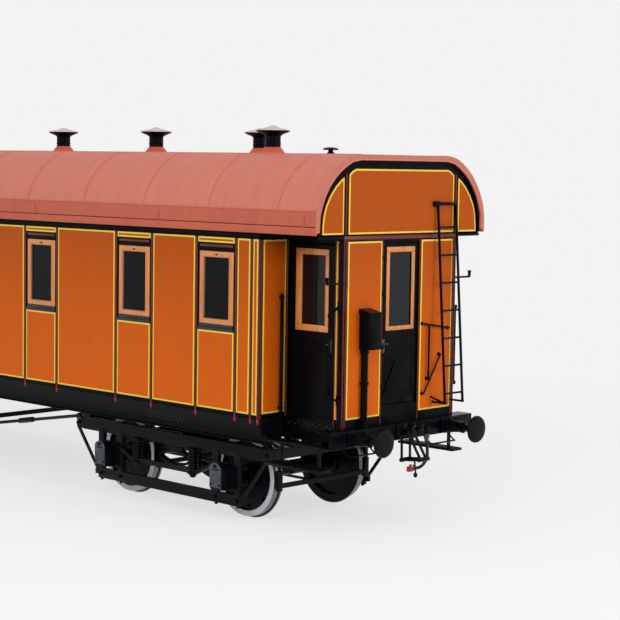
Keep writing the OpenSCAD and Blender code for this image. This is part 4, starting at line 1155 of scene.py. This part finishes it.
class COACH_OT_end_fittings(bpy.types.Operator):
    """Makes the steps, rails, ladders, lamp boxes, pipes and brackets of the ends"""

    bl_idname = "coach.end_fittings"
    bl_label = "End fittings"

    def execute(self, context):
        for end, s in ENDS:
            dressed(f"{end}_steps", ["gear_black"], soft=0.004)
            dressed(f"{end}_handrails", ["body_black"], soft=0.0, angle=40)
            dressed(f"{end}_ladder", ["body_black"], soft=0.0, angle=40)
            dressed(f"{end}_end_box", ["body_black"], soft=0.012, segments=3)
            dressed(f"{end}_hose_pipe", ["body_black"], soft=0.0, angle=40)
            bm = bmesh.new()
            x = END_X
            # box: sloping lid, door plate and collars on its pipe
            block(bm, (x + 0.004, x + 0.212), (-0.774, -0.568), (2.758, 2.776), 0, 0.006)
            plate(bm, [(x + 0.004, -0.774, 2.776), (x + 0.212, -0.774, 2.776), (x + 0.004, -0.774, 2.822)],
                  (0, 0.206, 0))
            block(bm, (x + 0.198, x + 0.206), (-0.745, -0.597), (2.36, 2.73), 0, 0.003)
            for z in (1.46, 1.9, 2.28):
                turned(bm, [(0, 0.042), (0, 0.056), (0.03, 0.056), (0.03, 0.042)], (x + 0.056, -0.7, z),
                       (0, 0, 1), 0, 20)
            # collars where the pipe's elbow meets the hose
            turned(bm, [(0, 0.019), (0, 0.036), (0.05, 0.036), (0.06, 0.03), (0.1, 0.024), (0.1, 0.019)],
                   (x + 0.215, 0.3, 1.225), (0, 0, -1), 1, 20)
            turned(bm, [(0, 0), (0, 0.034), (0.03, 0.034), (0.03, 0)], (x + 0.16, 0.3, 1.29), (1, 0, 0),
                   1, 20)
            # bars across the end wall with their brackets
            rod(bm, (x + 0.05, 0.735, 2.173), (x + 0.05, 0.42, 1.695), 0.011, 0)
            rod(bm, (x + 0.05, 0.4, 2.575), (x + 0.05, 0.9, 2.497), 0.012, 0)
            rod(bm, (x + 0.05, 0.504, 2.56), (x + 0.05, 0.504, 1.86), 0.013, 0)
            for y, z in ((0.735, 2.173), (0.42, 1.695), (0.4, 2.575), (0.9, 2.497), (0.504, 1.88)):
                rod(bm, (x + 0.01, y, z), (x + 0.056, y, z), 0.011, 0)
                turned(bm, [(0, 0), (0, 0.026), (0.006, 0.024), (0.01, 0.012), (0.01, 0)], (x + 0.013, y, z),
                       (1, 0, 0), 0, 16)
            for z in (1.82, 2.3, 2.95, 3.4):
                block(bm, (x + 0.002, x + 0.03), (-0.352, -0.325), (z, z + 0.05), 0, 0.004)
            # cranked top of the ladder, where it holds to the gable
            rod(bm, (x + 0.045, 0.6, 4.068), (x + 0.045, 1.0, 4.068), 0.019, 0, ease=0.004)
            block(bm, (x + 0.002, x + 0.075), (0.565, 0.655), (4.035, 4.1), 0, 0.01)
            rod(bm, (x + 0.01, 0.6, 1.64), (x + 0.23, 0.62, 1.572), 0.012, 0)
            for t in (-1, 1):
                # end of the lamp arm: cup and collar
                turned(bm, [(0, 0), (0, 0.02), (0.05, 0.02), (0.056, 0.026), (0.07, 0.026), (0.07, 0)],
                       (x + 0.007, t * 1.333, 3.14), (0, 0, 1), 0, 16)
                # grip rings and feet of the tall rails
                for px, py, z in ((x - 0.085, 1.173, 1.765), (x - 0.085, 1.173, 2.745),
                                  (BULK_X + 0.055, 1.176, 1.56), (BULK_X + 0.055, 1.176, 2.92)):
                    turned(bm, [(-0.022, 0.012), (-0.022, 0.024), (-0.012, 0.029), (0.012, 0.029),
                                (0.022, 0.024), (0.022, 0.012)], (px, t * py, z), (0, 0, 1), 0, 20)
                # tread bars along the step boards
                for y0, y1, z, back in ((1.07, 1.25, 1.17, BULK_X - 0.1), (1.15, 1.35, 0.9, BULK_X - 0.04)):
                    for k in range(5):
                        y = y0 + 0.022 + k * (y1 - y0 - 0.044) / 4
                        block(bm, (back, x - 0.07), span(t, y - 0.006, y + 0.006), (z - 0.002, z + 0.004),
                              0, 0.0015)
            # rivets round the ladder's feet and along the beam
            for y in (-1.2, -1.12, -0.62, -0.54, -0.3, 0.42, 0.5, 0.58, 0.66, 1.12, 1.2):
                for z in (1.2, 1.34):
                    stud(bm, (HEAD_X, y, z), sizes().rivet_radius, (1, 0, 0), 0)
            to_end(bm, s)
            settle(f"{end}_fittings", bm, ["body_black", "grey_metal_and_lit_lid"])
        return {"FINISHED"}


# ---------------------------------------------------------------- underframe and inside
class COACH_OT_underframe(bpy.types.Operator):
    """Makes the sills, beams and truss rods with their rivets and nuts"""

    bl_idname = "coach.underframe"
    bl_label = "Underframe"

    def execute(self, context):
        # the second finish paints some rivet heads lighter grey: painted highlight
        dressed("underframe", ["body_black", "rivet_highlight_grey"], soft=0.004, extra=self.rivets)
        dressed("truss_rods", ["gear_black"], soft=0.003, extra=self.nuts)
        return {"FINISHED"}

    def rivets(self, bm):
        """Rivets of the bolster plates, under the recesses and along the sills; those of the bolster plates
        and under the recesses are painted a lighter grey, a painted highlight on their heads.
        """
        r = sizes().rivet_radius
        for s in (-1, 1):
            for i in range(10):
                for j, z in enumerate((1.31, 1.27, 1.225)):
                    x = s * (END_X - 3.14 + 0.075 * i + 0.0375 * (j % 2))
                    for t in (-1, 1):
                        stud(bm, (x, t * (SILL_Y - 0.078), z), r, (0, t, 0), 1)
            for i in range(14):
                x = s * (BULK_X + 0.03 + 0.06 * i)
                for t in (-1, 1):
                    stud(bm, (x, t * VEST_Y, 1.385 if i % 2 else 1.36), r, (0, t, 0), 1)
        for i in range(-27, 28):
            for t in (-1, 1):
                stud(bm, (i * 0.295, t * SILL_Y, 1.423), r * 0.8, (0, t, 0))

    def nuts(self, bm):
        """Nuts and turnbuckles of the truss rods: (x, z) of both ends, and the radius."""
        for s in (-1, 1):
            for t in (-1, 1):
                for x0, z0, x1, z1, r in ((2.07, 0.645, 2.14, 0.658, 0.042), (4.7, 1.082, 4.62, 1.067, 0.042),
                                          (3.3, 0.849, 3.62, 0.904, 0.038)):
                    nut(bm, (s * x0, t * TRUSS_Y, z0), (s * x1, t * TRUSS_Y, z1), r)


class COACH_OT_interior(bpy.types.Operator):
    """Makes the floor, partitions and slatted benches"""

    bl_idname = "coach.interior"
    bl_label = "Interior"

    def execute(self, context):
        for n in ("floor", "partitions"):
            dressed(n, ["seat_wood"], soft=0.004)
        dressed("seats", ["seat_wood"], soft=0.01)
        return {"FINISHED"}


# ---------------------------------------------------------------- running gear
class COACH_OT_bogies(bpy.types.Operator):
    """Makes the bogies: frames, axle boxes, springs, bolsters and brakes"""

    bl_idname = "coach.bogies"
    bl_label = "Bogies"

    def execute(self, context):
        for end, _ in ENDS:
            lo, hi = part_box(f"{end}_bogie_frame")
            mid = (lo.x + hi.x) / 2
            dressed(f"{end}_bogie_frame", ["gear_black"], soft=0.004,
                    extra=lambda bm, mid=mid: self.frame_trim(bm, mid))
            # the lids, on the axle boxes' outer faces, are painted grey: painted highlight where those faces
            # are lit
            dressed(f"{end}_axle_boxes", ["gear_black", "grey_metal_and_lit_lid"], soft=0.006, segments=3, angle=30,
                    pick=lambda centre, _: int(abs(centre.y) > 1.371),
                    extra=lambda bm, mid=mid: self.lids(bm, mid))
            dressed(f"{end}_bolster", ["gear_black"], soft=0.004)
            dressed(f"{end}_springs", ["gear_black"], soft=0.0, angle=40,
                    extra=lambda bm, mid=mid: self.coils(bm, mid))
            dressed(f"{end}_brake_gear", ["gear_black"], soft=0.006)
        return {"FINISHED"}

    def frame_trim(self, bm, mid):
        """Rivets round the side plates, bolts on the tie bars and horn checks."""
        r = sizes().rivet_radius
        for t in (-1, 1):
            for i in range(-16, 17):
                stud(bm, (mid + i * 0.11, t * PLATE_Y, 0.975), r, (0, t, 0))
            for s in (-1, 1):
                for i in range(4):
                    for z in (0.9, 0.94):
                        stud(bm, (mid + s * (0.06 + 0.08 * i), t * PLATE_Y, z), r, (0, t, 0))
                for u in (-1, 1):
                    x = mid + s * AXLE_REACH + u * 0.2
                    for z in (0.42, 0.52, 0.62, 0.72, 0.8):
                        stud(bm, (x, t * 1.195, z), r, (0, t, 0))
                    nut(bm, (x, t * 1.195, 0.294), (x, t * 1.222, 0.294), 0.024)
                    nut(bm, (x, t * 1.17, 0.226), (x, t * 1.17, 0.2), 0.022)
                # bolts at the frame's ends
                x = mid + s * 1.84
                nut(bm, (x, t * PLATE_Y, 0.93), (x, t * 1.212, 0.93), 0.022)

    def lids(self, bm, mid):
        """Bolts, hinge and bead of the axle-box lids."""
        for t in (-1, 1):
            for s in (-1, 1):
                x = mid + s * AXLE_REACH
                y = t * 1.385
                nut(bm, (x, y - t * 0.004, 0.735), (x, y + t * 0.022, 0.735), 0.02)
                rod(bm, (x - 0.06, y, 0.69), (x + 0.06, y, 0.69), 0.009, 0)
                turned(bm, [(0, 0.05), (0, 0.066), (0.006, 0.064), (0.006, 0.052)], (x, y - t * 0.001, 0.575),
                       (0, t, 0), 1, 24)
                for u in (-1, 1):
                    nut(bm, (x + u * 0.075, y - t * 0.004, 0.5), (x + u * 0.075, y + t * 0.012, 0.5), 0.013)

    def coils(self, bm, mid):
        """A wound coil over the core of each spring, and the cup under it."""
        turns, steps_a_turn, r, wire, z0, z1 = 7, 14, 0.062, 0.0125, 0.57, 0.825
        steps = turns * steps_a_turn
        for t in (-1, 1):
            for s in (-1, 1):
                x, y = mid + s * 0.547, t * 1.218
                wound = bmesh.new()
                ring = [wound.verts.new((x + r + wire * math.cos(a), y, z0 + wire * math.sin(a)))
                        for a in [k * math.pi / 4 for k in range(8)]]
                bmesh.ops.spin(wound, geom=[wound.faces.new(ring)], cent=(x, y, z0), axis=(0, 0, 1),
                               dvec=(0, 0, (z1 - z0) / steps), angle=turns * 2 * math.pi, steps=steps,
                               use_merge=False, use_duplicate=False)
                join(bm, wound, 0)
                turned(bm, [(0, 0), (0, 0.05), (-0.02, 0.048), (-0.04, 0.036), (-0.05, 0.016), (-0.052, 0)],
                       (x, y, 0.54), (0, 0, 1), 0, 24)


class COACH_OT_wheels(bpy.types.Operator):
    """Makes the wheelsets: white tyre faces, bright treads and black centres"""

    bl_idname = "coach.wheels"
    bl_label = "Wheelsets"

    def execute(self, context):
        for node in ("front_outer_wheelset", "front_inner_wheelset", "rear_inner_wheelset",
                     "rear_outer_wheelset"):
            lo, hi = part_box(node)
            x, z = (lo.x + hi.x) / 2, AXLE_Z

            def pick(centre, normal, x=x, z=z):
                """White on the tyres' outer faces, steel on the treads, black elsewhere."""
                r = math.hypot(centre.x - x, centre.z - z)
                if abs(centre.y) < 0.7 or r < 0.43:
                    return 0
                if abs(normal.y) > 0.9 and abs(centre.y) > 0.84:
                    return 1
                return 2 if abs(normal.y) < 0.7 and r > 0.5 else 0

            def hub(bm, x=x, z=z):
                """A ring on each hub and eight bolts round each wheel's centre."""
                for t in (-1, 1):
                    turned(bm, [(0, 0.1), (0, 0.135), (0.012, 0.13), (0.02, 0.11), (0.02, 0.1)],
                           (x, t * 0.868, z), (0, t, 0), 0, 32)
                    for k in range(8):
                        a = k * math.pi / 4
                        at_x, at_z = x + 0.39 * math.cos(a), z + 0.39 * math.sin(a)
                        nut(bm, (at_x, t * 0.78, at_z), (at_x, t * 0.825, at_z), 0.02)

            dressed(node, ["gear_black", "tyre_white", "tread_steel"], pick=pick, soft=0.0, angle=24,
                    extra=hub)
        return {"FINISHED"}


# ---------------------------------------------------------------- panel and registration
STEPS = (COACH_OT_stage, COACH_OT_brake_hoses, COACH_OT_side_panels, COACH_OT_windows, COACH_OT_end_walls,
         COACH_OT_roof, COACH_OT_ventilators, COACH_OT_side_doors, COACH_OT_end_doors, COACH_OT_buffers,
         COACH_OT_couplings, COACH_OT_end_fittings, COACH_OT_underframe, COACH_OT_interior, COACH_OT_bogies,
         COACH_OT_wheels)


class COACH_PT_builder(bpy.types.Panel):
    """Sizes, colours and build steps of the coach"""

    bl_idname = "COACH_PT_builder"
    bl_label = "Passenger Coach"
    bl_space_type = "VIEW_3D"
    bl_region_type = "UI"
    bl_category = "Coach"

    def draw(self, context):
        layout = self.layout
        for group in (context.scene.coach_sizes, context.scene.coach_colours):
            box = layout.box()
            for key in group.__annotations__:
                box.prop(group, key)
        column = layout.column(align=True)
        for step in STEPS:
            column.operator(step.bl_idname)


CLASSES = (CoachSizes, CoachColours, *STEPS, COACH_PT_builder)


def register():
    for cls in CLASSES:
        bpy.utils.register_class(cls)
    bpy.types.Scene.coach_sizes = PointerProperty(type=CoachSizes)
    bpy.types.Scene.coach_colours = PointerProperty(type=CoachColours)


def unregister():
    del bpy.types.Scene.coach_colours
    del bpy.types.Scene.coach_sizes
    for cls in reversed(CLASSES):
        bpy.utils.unregister_class(cls)


def main():
    register()
    for step in STEPS:
        area, verb = step.bl_idname.split(".")
        getattr(getattr(bpy.ops, area), verb)()


if __name__ == "__main__":
    main()
